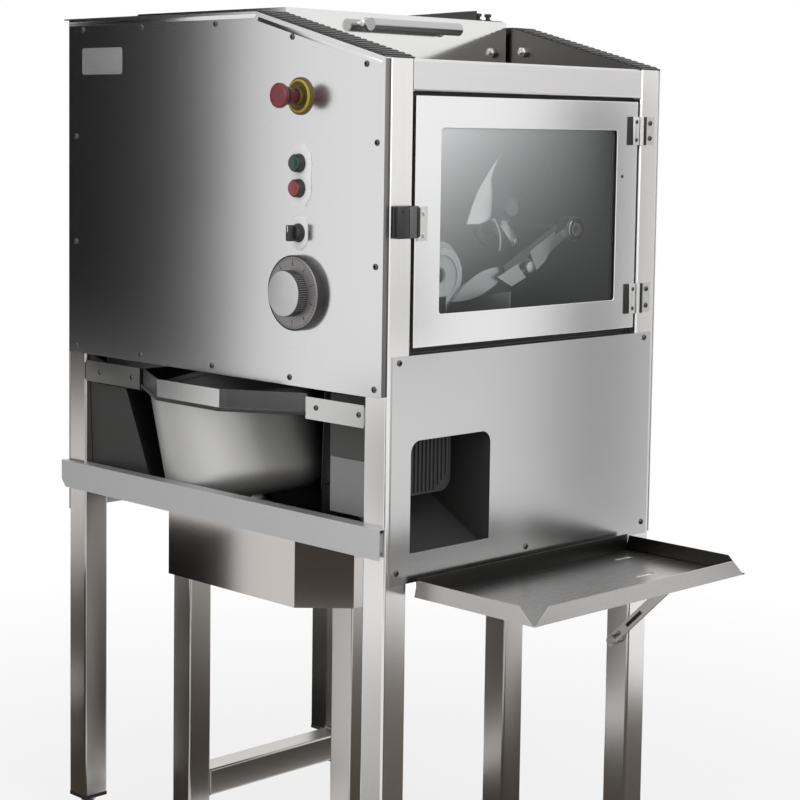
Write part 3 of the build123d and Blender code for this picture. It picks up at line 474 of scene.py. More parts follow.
# Wall caps: dark moulded strips on the sloped tops of both walls.
# Low ribs cross them at an even pitch.
cap_dark = moulded("cap_dark", (0.035, 0.035, 0.036), 0.42)
dress(cap_dark, "wall_caps")


def slab(bm, low, high, ease, turn=None):
    # A plate or bar between two corners, turned about its middle, with its edges rounded
    made = bmesh.ops.create_cube(bm, size=1.0)["verts"]
    bmesh.ops.scale(bm, verts=made, vec=high - low)
    if turn:
        bmesh.ops.rotate(bm, verts=made, cent=(0, 0, 0), matrix=turn)
    bmesh.ops.translate(bm, verts=made, vec=(low + high) / 2)
    if ease:
        round_off(bm, edges_of(made), ease / 1000)


slope_rise, slope_run = 78, 303
lean = Matrix.Rotation(atan2(slope_rise, slope_run), 3, "X")
rib_pitch, rib_half_width, rib_half_height = 14.2, 3.4, 0.8
bm = bmesh.new()
for cap_left, cap_right in ((-11, 50.5), (609.5, 660.5)):
    for step in range(21):
        y = 10 + rib_pitch * step
        z = 1408.7 + y * slope_rise / slope_run
        low = at(cap_left, y - rib_half_width, z - rib_half_height)
        slab(bm, low, at(cap_right, y + rib_half_width, z + rib_half_height), 0.5, lean)
piece("cap_ribs", bm, "frame", cap_dark)

# Panel edges: the control panel's sheet is folded over along its top.
# Its front edge stands off the post, and a dark strip between the two is painted shade in the gap.
bm = bmesh.new()
middle = at(-12.2, 152, 1434)
half = Vector((0.0005, 0.1500, 0.0035))
slab(bm, middle - half, middle + half, 0.4, lean)
slab(bm, at(-12.7, 304, 1473), at(-12, 819, 1480), 0.4)
piece("panel_fold", bm, "frame", panel_sheet)


def bars(name, body, slot, material, ease, *spans):
    # A piece made of plates or bars that lie square to the frame
    bm = bmesh.new()
    for low, high in spans:
        slab(bm, at(*low), at(*high), ease)
    return piece(name, bm, body, material)


edge_grey = brushed("edge_grey", (0.20, 0.195, 0.19), 0.4, Z)
gap_shade_dark = brushed("gap_shade_dark", grey(0.10), 0.4, Z)
front_edge = ((-11.4, -1.2, 885), (-4.6, 0, 1404))
bars("panel_front_edge", "frame", "stainless", edge_grey, 0.4, front_edge)
# Painted shade: a near-black strip fills the gap between panel and post.
front_gap_shade = ((-4.4, -0.8, 885), (-0.2, 0, 1404))
bars("panel_front_gap", "frame", "black_rubber", gap_shade_dark, 0.3, front_gap_shade)

# Cutting chamber: dull stainless floor, roof, back plate and cheeks behind the window.
# They are welded to the inner walls and carry what stands in the chamber.
chamber_sheet = brushed(
    "chamber_sheet", (0.235, 0.235, 0.237), 0.6, Z, contrast=0.02, metal=0.35, spread=0.02
)
cheek_sheet = brushed("cheek_sheet", grey(0.22), 0.6, Y, contrast=0.02, metal=0.35, spread=0.02)
dress(chamber_sheet, "chamber_plates", "chamber_back_plate")
bars(
    "chamber_cheeks", "frame", "stainless", cheek_sheet, 0.3,
    ((50, 22, 947.5), (52.2, 299.5, 1355)),
    ((607.8, 22, 947.5), (609.8, 299.5, 1355)),
)

# Dough feed: a steel auger in a barrel behind the back plate, driven by a painted geared motor.
# It ends in a white nylon nozzle with a rounded insert, fixed to the back plate.


def cast(name, colour, rough):
    # Cast or painted metal: a coarse orange-peel skin
    material, wire, shader, place = surface(name)
    peel = noise(wire, place, 420.0, 3.0)
    patch = noise(wire, place, 9.0, 4.0)
    feed(
        wire, shader,
        Base_Color=blend(wire, patch, *shades(colour, 0.8, 1.15)),
        Roughness=rough - 0.05 + 0.1 * peel,
        Normal=bump(wire, peel, 0.2, 0.0006),
    )
    return material


def turned_piece(name, body, material, base, axis, profile, steps):
    bm = bmesh.new()
    turned(bm, base, axis, profile, steps)
    return piece(name, bm, body, material)


shaft_steel = brushed("shaft_steel", grey(0.34), 0.26, Y, contrast=0.08)
nylon = cast("white_nylon", (0.62, 0.64, 0.65), 0.35)
motor_paint = cast("motor_paint", (0.16, 0.19, 0.23), 0.42)
dress(shaft_steel, "auger", "auger_barrel")
dress(nylon, "nozzle")
dress(motor_paint, "auger_gearmotor")
to_rear = (0, 1, 0)
nozzle_face = at(230, 105.5, 1056)
turned_piece("nozzle_insert", "frame", nylon, nozzle_face, to_rear, [
    (0, 46), (0, 40), (1.5, 38), (5, 30), (7, 18), (7.5, 14), (12, 13), (12, 46), (0, 46),
], 48)

# Knife: a long stainless arm with a leaf-shaped end, clamped on a shaft through the back plate.
# A rib, stiffening plates and a bright bolt are fixed to its front, and a geared motor swings it.
blade_steel = brushed("blade_steel", (0.45, 0.455, 0.46), 0.34, X, contrast=0.08, metal=0.8)
rib_steel = brushed("rib_steel", (0.10, 0.10, 0.102), 0.5, X, contrast=0.08, metal=0.5)
cast_iron = cast("cast_iron", (0.23, 0.23, 0.24), 0.5)
dress(blade_steel, "knife_arm")
dress(cast_iron, "knife_bearing")
dress(motor_paint, "cutter_gearmotor")
to_front = (0, -1, 0)
pivot_x, pivot_z = 545, 1126
shaft_end = at(pivot_x, 86, pivot_z)
shaft = turned_piece("knife_spindle", "knife", chamber_sheet, shaft_end, to_rear, [
    (0, 0), (0, 12), (20, 12), (22, 6), (176, 6), (178, 12), (286, 12), (286, 0),
], 28)
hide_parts("knife_shaft")
arm_face = at(pivot_x, 90, pivot_z)
turned_piece("knife_end_clamp", "knife", shaft_steel, arm_face, to_front, [
    (0, 0), (0, 19), (1, 20), (4, 20), (5, 19), (5, 13), (2, 12), (2, 8), (4, 7.5), (4, 0),
], 36)


def verts_in(geom):
    return [item for item in geom if isinstance(item, bmesh.types.BMVert)]


def raise_blank(bm, blank, shift):
    # Gives a flat blank its gauge; returns the corners of its new side
    grown = bmesh.ops.extrude_face_region(bm, geom=[blank], use_keep_orig=True)["geom"]
    raised = verts_in(grown)
    bmesh.ops.translate(bm, verts=raised, vec=shift)
    return raised


def strap(bm, outline, back, front):
    # A flat strap cut to an outline in X and Z
    blank = blank_face(bm, [at(x, back, z) for x, z in outline])
    raise_blank(bm, blank, (0, (front - back) / 1000, 0))


bm = bmesh.new()
strap(bm, ((357, 1068), (497, 1138), (500, 1124), (366, 1055)), 89.8, 88.2)
piece("knife_back_rib", bm, "knife", rib_steel)
bm = bmesh.new()
strap(bm, ((424, 1091), (490, 1124), (469, 1076), (443, 1058)), 89.5, 87.0)
strap(bm, ((343, 1050), (392, 1070), (416, 1047), (380, 1033)), 89.5, 87.0)
bolt_dome = [(0, 12), (3, 12), (6, 10), (7.5, 6), (8, 0)]
turned(bm, at(425, 90, 1064), to_front, bolt_dome, 24)
piece("knife_stiffener", bm, "knife", blade_steel)

# Curved sheet: a leaf of stainless sheet whose right side bends away to the rear, painted white
# and mostly matt as a painted highlight.
# It hangs from a rod on the back plate, above the chute that takes the dough to the bowl.
# Painted highlight: the leaf is near white, so it shines like a lit curve of steel.
highlight_white_sheet = brushed("highlight_white_sheet", grey(1.0), 0.3, Z, contrast=0.01, metal=0.2)
dress(blade_steel, "transfer_chute")
leaf_face, bend_from, bend_rate = 124, 0.72, 1.6
leaf_edges = (
    (1139, 302.5, 341), (1146, 305.5, 368), (1155, 309, 374), (1168, 315, 374.5),
    (1180, 321, 373), (1192, 327.5, 371), (1205, 337, 366), (1217, 347, 364),
    (1228, 356, 367), (1238, 366, 372), (1248, 377, 378),
)


def leaf_edge(vert):
    # Left edge, and width to the right edge, at a point's height
    left, right_edge = min(leaf_edges, key=lambda row: abs(row[0] / 1000 - vert.co.z))[1:]
    return at(left, 0, 0).x, (right_edge - left) / 1000


bm = bmesh.new()
left_side = [bm.verts.new(at(left, leaf_face, z)) for z, left, right_edge in leaf_edges]
left_line = [bm.edges.new(pair) for pair in zip(left_side, left_side[1:])]
for vert in verts_in(bmesh.ops.extrude_edge_only(bm, edges=left_line)["geom"]):
    vert.co.x += leaf_edge(vert)[1]
across = [edge for edge in bm.edges if abs(edge.verts[0].co.z - edge.verts[1].co.z) < 1e-6]
bmesh.ops.subdivide_edges(bm, edges=across, cuts=11)
for vert in bm.verts:
    left, width = leaf_edge(vert)
    past_bend = max(0.0, (vert.co.x - left) / width - bend_from)
    vert.co.y += past_bend ** 2 * bend_rate * width


def thicken(bm, thickness):
    # Gives open sheet work its gauge
    bmesh.ops.recalc_face_normals(bm, faces=bm.faces)
    bmesh.ops.solidify(bm, geom=bm.faces[:], thickness=thickness)
    bmesh.ops.remove_doubles(bm, verts=bm.verts, dist=1e-6)


thicken(bm, 0.002)
sheet = piece("curved_sheet", bm, "frame", highlight_white_sheet)
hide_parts("curved_deflector")
rod = [(0, 0), (0, 3), (173, 3), (173, 0)]
rod_end = at(352, 127, 1180)
turned_piece("sheet_hanger", "frame", chamber_sheet, rod_end, to_rear, rod, 20)

# Knife stop: a dark rubber buffer with a collar, on a rod from the back plate.
# The arm comes to rest against it at the top of its swing.
stop_grey = moulded("stop_rubber", (0.10, 0.105, 0.11), 0.5)
buffer_face = at(388, 96, 1167)
buffer = turned_piece("knife_buffer", "frame", stop_grey, buffer_face, to_rear, [
    (0, 0), (0, 14.5), (1.5, 16), (16.5, 16), (16.5, 23), (18, 24), (21, 24), (22, 22),
    (22, 3), (204, 3), (204, 0),
], 36)
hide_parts("knife_stop")

# Link plates: a slanted steel plate on a pin and a bolt, and a curved scraper beside it.
# They stand in front of the back plate.
bm = bmesh.new()
link_turn = Matrix.Rotation(atan2(36, 34), 3, "Y")
slab(bm, at(376, 114, 1114.5), at(426, 117, 1131.5), 1.0, link_turn)
turned(bm, at(385, 113, 1140), to_rear, [(0, 0), (0, 6), (2, 7), (9, 7), (9, 0)], 20)
hexagon(bm, at(415, 114, 1107), to_front, 9, 3)


def sweep(bm, geom, centre, axis, angle, steps):
    # Part of a turn, left open at its ends; returns what stands at the far end
    return bmesh.ops.spin(
        bm, geom=geom, cent=centre, axis=axis, dvec=(0, 0, 0),
        angle=angle, steps=steps, use_merge=False,
    )["geom_last"]


scraper_x, scraper_z, scraper_start = 328, 1107, radians(52)
blank = blank_face(bm, [
    at(scraper_x + radius * cos(scraper_start), y, scraper_z + radius * sin(scraper_start))
    for radius, y in ((48.5, 114), (53.5, 114), (53.5, 116.5), (48.5, 116.5))
])
scraper_middle = at(scraper_x, 114, scraper_z)
sweep(bm, [blank, *blank.edges, *blank.verts], scraper_middle, to_rear, radians(69), 12)
piece("link_and_scraper", bm, "frame", blade_steel)

# Hopper: a funnel of welded stainless sheets over the auger.
# A bolt in the right wall stops the lid.
# The hopper's dark tone is painted shade inside the recess.
dress(brushed("hopper_shade_sheet", (0.22, 0.215, 0.21), 0.36, Z), "hopper")
to_left = (-1, 0, 0)
bm = bmesh.new()
hexagon(bm, at(608.5, 272, 1440), to_left, 17, 9)
turned(bm, at(599.5, 272, 1440), to_left, [(0, 4.5), (5, 4.5), (6, 3.8), (6, 0)], 16)
piece("lid_stop_bolt", bm, "frame", bolt_steel)

# Lid: polished stainless with a deep front plate, a bar handle and a black wedge grip.
# It turns on two lugs behind the hopper, and a black moulded catch stands on its right side.
polished = brushed("polished_steel", (0.78, 0.78, 0.77), 0.11, X, contrast=0.03, spread=0.04)
handle_steel = brushed("handle_steel", grey(0.52), 0.24, X, contrast=0.06)
black_plastic = moulded("black_plastic", (0.020, 0.020, 0.021), 0.38)
dress(polished, "hopper_lid")
dress(handle_steel, "lid_handle")
dress(bolt_steel, "lid_hinge")
dress(black_plastic, "lid_wedge")

handle_collar = [(0, 0), (0, 13), (2, 13), (4, 10.5), (4, 7)]
bm = bmesh.new()
for x in (244, 424):
    turned(bm, at(x, 311, 1474), to_front, handle_collar, 24)
piece("handle_collars", bm, "lid", handle_steel)

bm = bmesh.new()
for x in (540, 566):
    turned(bm, at(x, 326, 1495), up, [
        (0, 0), (0, 7), (3, 7), (4, 4), (8, 4), (9, 6.5), (13, 6.5), (14, 5.5), (14, 0),
    ], 20)
slab(bm, at(535, 318, 1494.8), at(598, 336, 1497), 0.6)
piece("lid_catch", bm, "lid", black_plastic)

# Door: a folded stainless frame with eased edges, which hangs on the right post.
# A keeper plate is screwed to its left side.
dress(brushed("door_sheet", grey(0.86), 0.2, X, contrast=0.03, spread=0.03), "door_frame")
ease_edges(1.2, "door_frame")
dress(bolt_steel, "door_fittings")

# Window: a clear pane held in the door by a black rubber seal, with a faint smear in its gloss and
# a painted sheen that grows towards its upper left.
# The seal's lip stands proud of the pane on the right and along the bottom.
pane_right, pane_foot = 0.262, 1.0
glass = bpy.data.materials.new("window_glass")
wire = new_tree(glass)
place = wire.node("ShaderNodeTexCoord", {}, {}, "Object")
smear = noise(wire, place, (4.0, 4.0, 6.0), 4.0)
clear = wire.node("ShaderNodeBsdfTransparent", {}, {"Color": (0.97, 0.975, 0.975, 1)})
pane_gloss = {"Color": (0.98, 0.99, 1, 1), "Roughness": 0.42 + 0.06 * smear}
gloss = wire.node("ShaderNodeBsdfGlossy", {}, pane_gloss)
rim_gloss = wire.node("ShaderNodeFresnel", {}, {"IOR": 1.45})
inner_side = wire.node("ShaderNodeNewGeometry", {}, {}, "Backfacing")
# Painted reflection: the glossy share of the pane grows towards its upper left.
leftward = (pane_right - coordinate(wire, place, X)) * 2.22
upward = wire.math("MAXIMUM", (coordinate(wire, place, Z) - pane_foot) * 3.25, 0.0)
painted_sheen = leftward * wire.math("POWER", upward, 1.2) * 0.66
shine = (rim_gloss + painted_sheen) * (1 - inner_side)
pane = wire.node("ShaderNodeMixShader", {}, {0: shine, 1: clear, 2: gloss})
wire.node("ShaderNodeOutputMaterial", {}, {"Surface": pane})
dress(glass, "door_glass")
dress(black_rubber, "window_seal")

bm = bmesh.new()
slab(bm, at(543, 6.4, 1001), at(552.5, 9, 1307), 0.8)
slab(bm, at(104, 6.4, 1000.5), at(543, 8, 1004), 0.5)
piece("seal_lip", bm, "door", black_rubber)

# Door gasket: black rubber strips round the opening of the chamber.
# The closed door rests against them.
bars(
    "door_gasket", "frame", "black_rubber", black_rubber, 1.2,
    ((50.2, 16.5, 946.5), (60, 21, 1356)),
    ((600, 16.5, 946.5), (608, 21, 1356)),
    ((60, 16.5, 1344), (600, 21, 1355.5)),
    ((60, 16.5, 947.8), (600, 21, 962)),
)

# Hinges: two stainless hinges, screwed to the door and to the right post.
# Dark strips beside their leaves are painted shade, and a raised pad lies on each door leaf.
shade_black = brushed("shade_black_steel", (0.05, 0.05, 0.052), 0.4, Z)
dress(bolt_steel, "post_hinge_leaves")
hinge_spans = ((1275, 1324), (982, 1034))
for name, body, material, (left, right_edge), (front, back), ease in (
    ("hinge_door_shade", "door", shade_black, (573, 583), (-4.6, -1.6), 0.4),
    ("hinge_door_pads", "door", bolt_steel, (582.5, 599), (-6.6, -3.6), 0.8),
    ("hinge_post_shade", "frame", shade_black, (610.2, 616), (-9, -1.6), 0.4),
):
    spans = [((left, front, low), (right_edge, back, high)) for low, high in hinge_spans]
    bars(name, body, "stainless", material, ease, *spans)

# Door switch: a black moulded block with a grey band, which the keeper plate of the door meets.
# Two screws hold it on the left post.
bm = bmesh.new()
slab(bm, at(6, -15.5, 1129.5), at(51, -0.2, 1179.5), 2.0)
slab(bm, at(8, -17, 1132), at(27, -14, 1177), 1.2)
slab(bm, at(46, -17, 1132), at(51.5, -14, 1177), 1.0)
for z in (1138, 1171):
    turned(bm, at(13, -17, z), to_front, [
        (0, 3.4), (0.8, 3.4), (0.8, 1.6), (-0.6, 1.4), (-0.6, 0),
    ], 16)
switch = piece("door_switch_case", bm, "frame", black_plastic)
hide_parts("door_switch")
band_grey = brushed("switch_band", grey(0.14), 0.4, Z)
band = ((28.5, -16.6, 1130.5), (44.5, -13, 1178.5))
bars("door_switch_band", "frame", "black_plastic", band_grey, 0.8, band)

# Lower front: a bright brushed sheet, screwed to the posts, with the outlet cut in it.
# A black fluted plate hangs over the outlet.
front_sheet = brushed("front_sheet", grey(0.60), 0.24, X, contrast=0.04, spread=0.04)
dress(front_sheet, "lower_front_panel")
dress(black_plastic, "fluted_plate")

# Outlet trough: thin stainless sheet with a sloped floor, from the bowl down to the outlet.
# A cheek and a side sheet close it behind the left post, and a sheet covers its far side, its pale
# tone painted light for the bowl to reflect.
# The trough and its cheek are near black: their tone is painted shade inside the frame.
chute_shade_sheet = brushed("chute_shade_sheet", (0.065, 0.064, 0.063), 0.5, Y, contrast=0.08, metal=0.2)
trough_sheet = brushed("trough_sheet", grey(0.24), 0.5, Y, contrast=0.05, metal=0.2)
pale_light_sheet = brushed("pale_light_sheet", (0.80, 0.80, 0.79), 0.5, Y, contrast=0.05, metal=0.2)
trough_foot, trough_slope, trough_top = 612, 0.55, 0.87
bm = bmesh.new()
plan = [(51.5, 1), (238.5, 1), (238.5, 368), (51.5, 168)]
bottom = blank_face(bm, [at(x, y, trough_foot + trough_slope * y) for x, y in plan])
closed_sides = list(bottom.edges)[1:]
for vert in verts_in(bmesh.ops.extrude_edge_only(bm, edges=closed_sides)["geom"]):
    vert.co.z = trough_top
thicken(bm, 0.0015)
chute = piece("outlet_trough", bm, "frame", chute_shade_sheet)
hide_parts("outlet_chute")
cheek = ((47.4, 51, 767), (48.8, 178, 869))
bars("outlet_trough_cheek", "frame", "stainless", chute_shade_sheet, 0.0, cheek)
lower_side = ((48.4, 51, 676), (49.8, 178, 766))
bars("trough_side_sheet", "frame", "stainless", trough_sheet, 0.0, lower_side)
# Painted light: this pale sheet gives the bowl's right side a bright face to reflect.
bm = bmesh.new()
middle = at(156, 289.5, 770)
half = Vector((0.104, 0.0007, 0.095))
slab(bm, middle - half, middle + half, 0.0, Matrix.Rotation(atan2(200, 187), 3, "Z"))
piece("trough_outer_sheet", bm, "frame", pale_light_sheet)

# Bowl: turned from satin stainless, leaning to the rear on a spindle, with a fixed track inside.
# Its bearing and the painted geared motor are bolted under the deck.


def off_axis(wire, vector, across):
    # Distance from the axis that is zero in across
    flat = wire.node("ShaderNodeVectorMath", {"operation": "MULTIPLY"}, {0: vector, 1: across})
    return wire.node("ShaderNodeVectorMath", {"operation": "LENGTH"}, {0: flat}, 1)


bowl_foot, bowl_lean = at(160, 508, 636), radians(17)
bowl_inside, bowl_floor, shade_from = 0.1422, 0.06, 0.832
bowl_steel, wire, shader, place = surface("bowl_steel")
centred = wire.node("ShaderNodeMapping", {}, {0: place, 1: tuple(-bowl_foot)})
tilt = {"Vector": centred, "Angle": bowl_lean}
tilted = wire.node("ShaderNodeVectorRotate", {"rotation_type": "X_AXIS"}, tilt)
height = coordinate(wire, tilted, Z)
lathe_lines = wire.node("ShaderNodeCombineXYZ", {}, {Z: height})
turning = noise(wire, lathe_lines, (0.0, 0.0, 700.0), 2.0)
wipe = noise(wire, place, 4.0, 4.0)
# Painted shade: the bowl's inside, and its outside above the collar's foot where it lies behind
# the collar, turn near black.
inside = (off_axis(wire, tilted, (1, 1, 0)) < bowl_inside) * (height > bowl_floor)
behind_collar = (coordinate(wire, place, Z) - shade_from) * 90.0
shaded = wire.math("MINIMUM", wire.math("MAXIMUM", inside, behind_collar), 1.0)
satin = blend(wire, turning * 0.6 + wipe * 0.4, (0.50, 0.496, 0.492), (0.58, 0.575, 0.57))
feed(
    wire, shader,
    Base_Color=blend(wire, shaded, satin, grey(0.05)),
    Roughness=0.44 + 0.06 * turning + 0.06 * wipe,
    Metallic=0.7,
    Normal=bump(wire, turning, 0.08, 0.0004),
)
dress(bowl_steel, "bowl")
dress(shaft_steel, "bowl_spindle")
dress(cast_iron, "bowl_bearing")
dress(motor_paint, "rounder_gearmotor")
dress(brushed("track_sheet", grey(0.10), 0.4, Y), "rounding_track")

# Deck: dark stainless sheet on the inner stand, which carries the rounder.
# A lip runs along its left side, and a polished guard with a slanted corner hides the drive.
guard_sheet = brushed("guard_sheet", (0.55, 0.515, 0.495), 0.1, Z, contrast=0.03, spread=0.03)
dress(brushed("deck_sheet", (0.16, 0.155, 0.15), 0.4, Y), "rounder_deck")
dress(brushed("lip_sheet", (0.58, 0.58, 0.585), 0.52, Y, contrast=0.05), "shelf_lip")
dress(guard_sheet, "drive_guard")

# Shroud: a dark sheet cone round the back of the bowl, with a wing that reaches the rear post.
# A low upstand on the deck goes round its foot.
shroud_sheet = brushed("shroud_sheet", (0.045, 0.044, 0.043), 0.5, Z, contrast=0.08, metal=0.4)
shroud_x, shroud_y, shroud_start = 160, 520, radians(-75)
cone_foot, cone_top = at(shroud_x, shroud_y, 640), at(shroud_x, 560, 880)
stem = (cone_top - cone_foot).normalized()
side = Vector((cos(shroud_start), sin(shroud_start), 0))
side = (side - stem * side.dot(stem)).normalized()
bm = bmesh.new()
ends = [bm.verts.new(cone_foot + side * 0.16), bm.verts.new(cone_top + side * 0.2)]
swept = sweep(bm, [*ends, bm.edges.new(ends)], cone_foot, stem, radians(215), 43)
last = [item for item in swept if isinstance(item, bmesh.types.BMEdge)]
for vert in verts_in(bmesh.ops.extrude_edge_only(bm, edges=last)["geom"]):
    vert.co = at(18, 785, 640) if vert.co.z < 0.76 else at(8, 785, 880)
thicken(bm, 0.0015)
piece("bowl_shroud", bm, "frame", shroud_sheet)

ring_radius = 163
ring_x = shroud_x + ring_radius * cos(shroud_start)
ring_y = shroud_y + ring_radius * sin(shroud_start)
bm = bmesh.new()
ends = [bm.verts.new(at(ring_x, ring_y, z)) for z in (594.5, 672)]
ring_middle = at(shroud_x, shroud_y, 600)
sweep(bm, [*ends, bm.edges.new(ends)], ring_middle, up, radians(175), 35)
thicken(bm, 0.0012)
piece("deck_upstand", bm, "frame", shroud_sheet)

# Guard collar: a bent stainless strip that stands off the left side, on two screwed brackets.
# Its rear part is painted darker as shade, and a black strip along its foot is painted shade where
# the collar meets the bowl.
# Painted shade: past this plane, the collar's rear slant turns near black.
painted_rear_shade = (Y, 0.183, grey(0.06))
collar_sheet = brushed(
    "collar_sheet", (0.62, 0.615, 0.61), 0.2, Z, contrast=0.04, painted_shade=painted_rear_shade
)
dress(collar_sheet, "guard_collar")
bracket_sheet = brushed("bracket_sheet", (0.10, 0.098, 0.096), 0.4, Y, contrast=0.06, metal=0.3)
rear_bracket = ((-2.7, 621, 832), (-1.9, 782, 870))
bars("collar_bracket_plate", "frame", "stainless", bracket_sheet, 0.3, rear_bracket)
# The black strip stands for the dark shade line under the collar's foot.
shade_line_z = 839
bends = [(0, 184), (-80, 307), (-80, 470), (0, 617)]
bm = bmesh.new()
for (x0, y0), (x1, y1) in zip(bends, bends[1:]):
    middle = at((x0 + x1) / 2, (y0 + y1) / 2, shade_line_z)
    half = Vector((hypot(x1 - x0, y1 - y0) / 2000, 0.0022, 0.003))
    along_bend = Matrix.Rotation(atan2(y1 - y0, x1 - x0), 3, "Z")
    slab(bm, middle - half, middle + half, 0.8, along_bend)
piece("collar_shade_line", bm, "frame", black_rubber)

# Tray: folded stainless sheet on a hinge tab under the outlet, its front corners notched and open.
# A slotted strut and its bolt on the right post hold it level.
# Painted shade: past this plane, around its right lip, the tray's sheet is darker.
painted_right_shade = (X, 0.287, (0.07, 0.066, 0.062))
tray_sheet = brushed(
    "tray_sheet", (0.47, 0.46, 0.455), 0.26, X, contrast=0.05, painted_shade=painted_right_shade
)
lip_painted_shade = brushed("lip_painted_shade", (0.03, 0.029, 0.028), 0.4, X)
dress(tray_sheet, "tray")
dress(brushed("strut_sheet", (0.74, 0.73, 0.72), 0.34, Y, contrast=0.06), "tray_strut")
dress(bolt_steel, "tray_fixings")
# The back lip's near-black tone is painted shade under the lower panel.
back_lip = ((58, -15, 566.5), (583, -12.4, 594))
bars("tray_back_lip", "tray", "stainless", lip_painted_shade, 0.5, back_lip)
# The slot is drawn as a black strip on the strut: its dark opening is painted shade.
bm = bmesh.new()
middle = at(596.7, -22, 441)
half = Vector((0.0005, 0.022, 0.0032))
slab(bm, middle - half, middle + half, 0.3, Matrix.Rotation(atan2(-181, 186), 3, "X"))
piece("strut_slot", bm, "strut", shade_black)

# Stop button: a red moulded mushroom on a stem, in a yellow flange with a raised yellow rim; the
# flange's darker ochre tone is painted shade.
# It is set in a hole in the left panel, like the other controls below it.
yellow = moulded("yellow_plastic", (0.46, 0.34, 0.025), 0.36)
# The flange is the rim's yellow, darkened as painted shade.
shaded_yellow = moulded("shaded_yellow_plastic", (0.11, 0.075, 0.014), 0.45)
# Painted shade: the mushroom's side towards the panel turns dark.
painted_back_shade = (0.012, 0.009, 0.012)
red = moulded("red_plastic", (0.19, 0.018, 0.025), 0.42, coat=0.12, panel_side_shade=painted_back_shade)
panel_face, control_y = -12, 192
stem_radius = 10.6
stem_end = [(-14, 0), (-14, stem_radius)]
stop_seat = at(panel_face, control_y, 1347)
bm = bmesh.new()
turned(bm, stop_seat, to_left, [
    (20, 0), (20, 13.4), (24, 13.8), (30, 14.6), (35, 16.0), (39, 18.2), (41.5, 19.6), (43, 20),
    (46.5, 20), (48.2, 19.2), (49.0, 17.6), (49.3, 15), (49.6, 8), (49.7, 0),
], 48)
turned(bm, stop_seat, to_left, [*stem_end, (22, stem_radius)], 32)
mushroom = piece("stop_mushroom", bm, "estop", red)
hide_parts("estop_button")
flange = turned_piece("stop_flange", "frame", shaded_yellow, stop_seat, to_left, [
    (0, 11.2), (0, 30), (2.4, 30), (3.6, 29.2), (4, 27.6), (4, 22), (3.2, 20.5), (3.2, 14.2),
    (11, 13.8), (12, 13.2), (12, 11.2), (0, 11.2),
], 48)
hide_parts("estop_ring")
turned_piece("stop_rim", "frame", yellow, stop_seat, to_left, [
    (3.6, 22.2), (5.6, 22.4), (6.9, 23.2), (7.4, 24.4), (6.9, 25.6), (5.6, 26.4), (3.6, 26.6),
    (3.6, 22.2),
], 48)

# Button plates: white moulded plates with eased edges, an eight-sided one under the two buttons
# and an oval one under the selector. The bezels clamp them to the panel.


def plate(bm, outline, front, radius=0.0, steps=1):
    # A flat plate on the panel, cut to an outline in Y and Z with round corners.
    # Its front edge is eased.
    blank = blank_face(bm, [at(panel_face, y, z) for y, z in outline])
    if radius:
        arcs = bmesh.ops.bevel(
            bm, geom=list(blank.verts), offset=radius / 1000, segments=steps, profile=0.5,
            affect="VERTICES", material=-1,
        )["verts"]
        blank = arcs[0].link_faces[0]
    raised = raise_blank(bm, blank, ((front - panel_face) / 1000, 0, 0))
    rim = [edge for edge in bm.edges if all(vert in raised for vert in edge.verts)]
    round_off(bm, rim, 0.0005)


white_plastic = moulded("white_plastic", (0.93, 0.945, 0.95), 0.3)
plate_face = -13.6
bm = bmesh.new()
plate(bm, [
    (179, 1172), (204, 1172), (218, 1190), (218, 1254),
    (204, 1272), (179, 1272), (165, 1254), (165, 1190),
], plate_face)
oval = [(211.5, 1157.5), (172.5, 1157.5), (172.5, 1102.5), (211.5, 1102.5)]
plate(bm, oval, plate_face, 19.4, 12)
plates = piece("legend_plates_white", bm, "frame", white_plastic)
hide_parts("legend_plates")

# Rear plate: a small plain aluminium plate with round corners, near the top of the panel.
# Two rivets hold it.
plate_metal, wire, shader, place = surface("plate_metal")
grain = noise(wire, place, (1200.0, 20.0, 1200.0), 2.0)
stain = noise(wire, place, 30.0, 3.0)
worn = grain * 0.6 + stain * 0.4
feed(
    wire, shader,
    Base_Color=blend(wire, worn, (0.22, 0.22, 0.225), (0.32, 0.32, 0.325)),
    Roughness=0.42 + 0.1 * stain,
    Metallic=0.35,
)
bm = bmesh.new()
plate(bm, [(779, 1433), (662, 1433), (662, 1386), (779, 1386)], -13, 5, 6)
for y in (667.5, 773.5):
    turned(bm, at(-13, y, 1409.5), to_left, [(0, 2.4), (0.6, 2.2), (1.1, 1.3), (1.3, 0)], 14)
piece("blank_plate", bm, "frame", plate_metal)

# Push buttons: a green and a red moulded cap, one above the other, in black bezels.
# Their stems go through the panel to the switch blocks behind it.
green = moulded("green_plastic", (0.012, 0.045, 0.036), 0.34, coat=0.3)
cap_red = moulded("cap_red", (0.26, 0.04, 0.045), 0.38, coat=0.2)
dress(black_plastic, "switch_blocks")
start_z, stop_z, selector_z = 1241, 1201, 1130
bezel_bore = 11.4
bezel_foot = [(0, bezel_bore), (0, 15.2), (1.4, 15.2), (2.0, 14.4)]
bm = bmesh.new()
for z in (start_z, stop_z):
    turned(bm, at(plate_face, control_y, z), to_left, [
        *bezel_foot, (9.6, 14.2), (10.8, 13.6), (11, 12.9), (5.5, 12.7), (5.5, bezel_bore),
        (0, bezel_bore),
    ], 40)
turned(bm, at(plate_face, control_y, selector_z), to_left, [
    *bezel_foot, (4.2, 14.2), (4.8, 13.6), (4.8, bezel_bore), (0, bezel_bore),
], 40)
bezels = piece("button_bezels", bm, "frame", black_plastic)
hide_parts("switch_bezels")

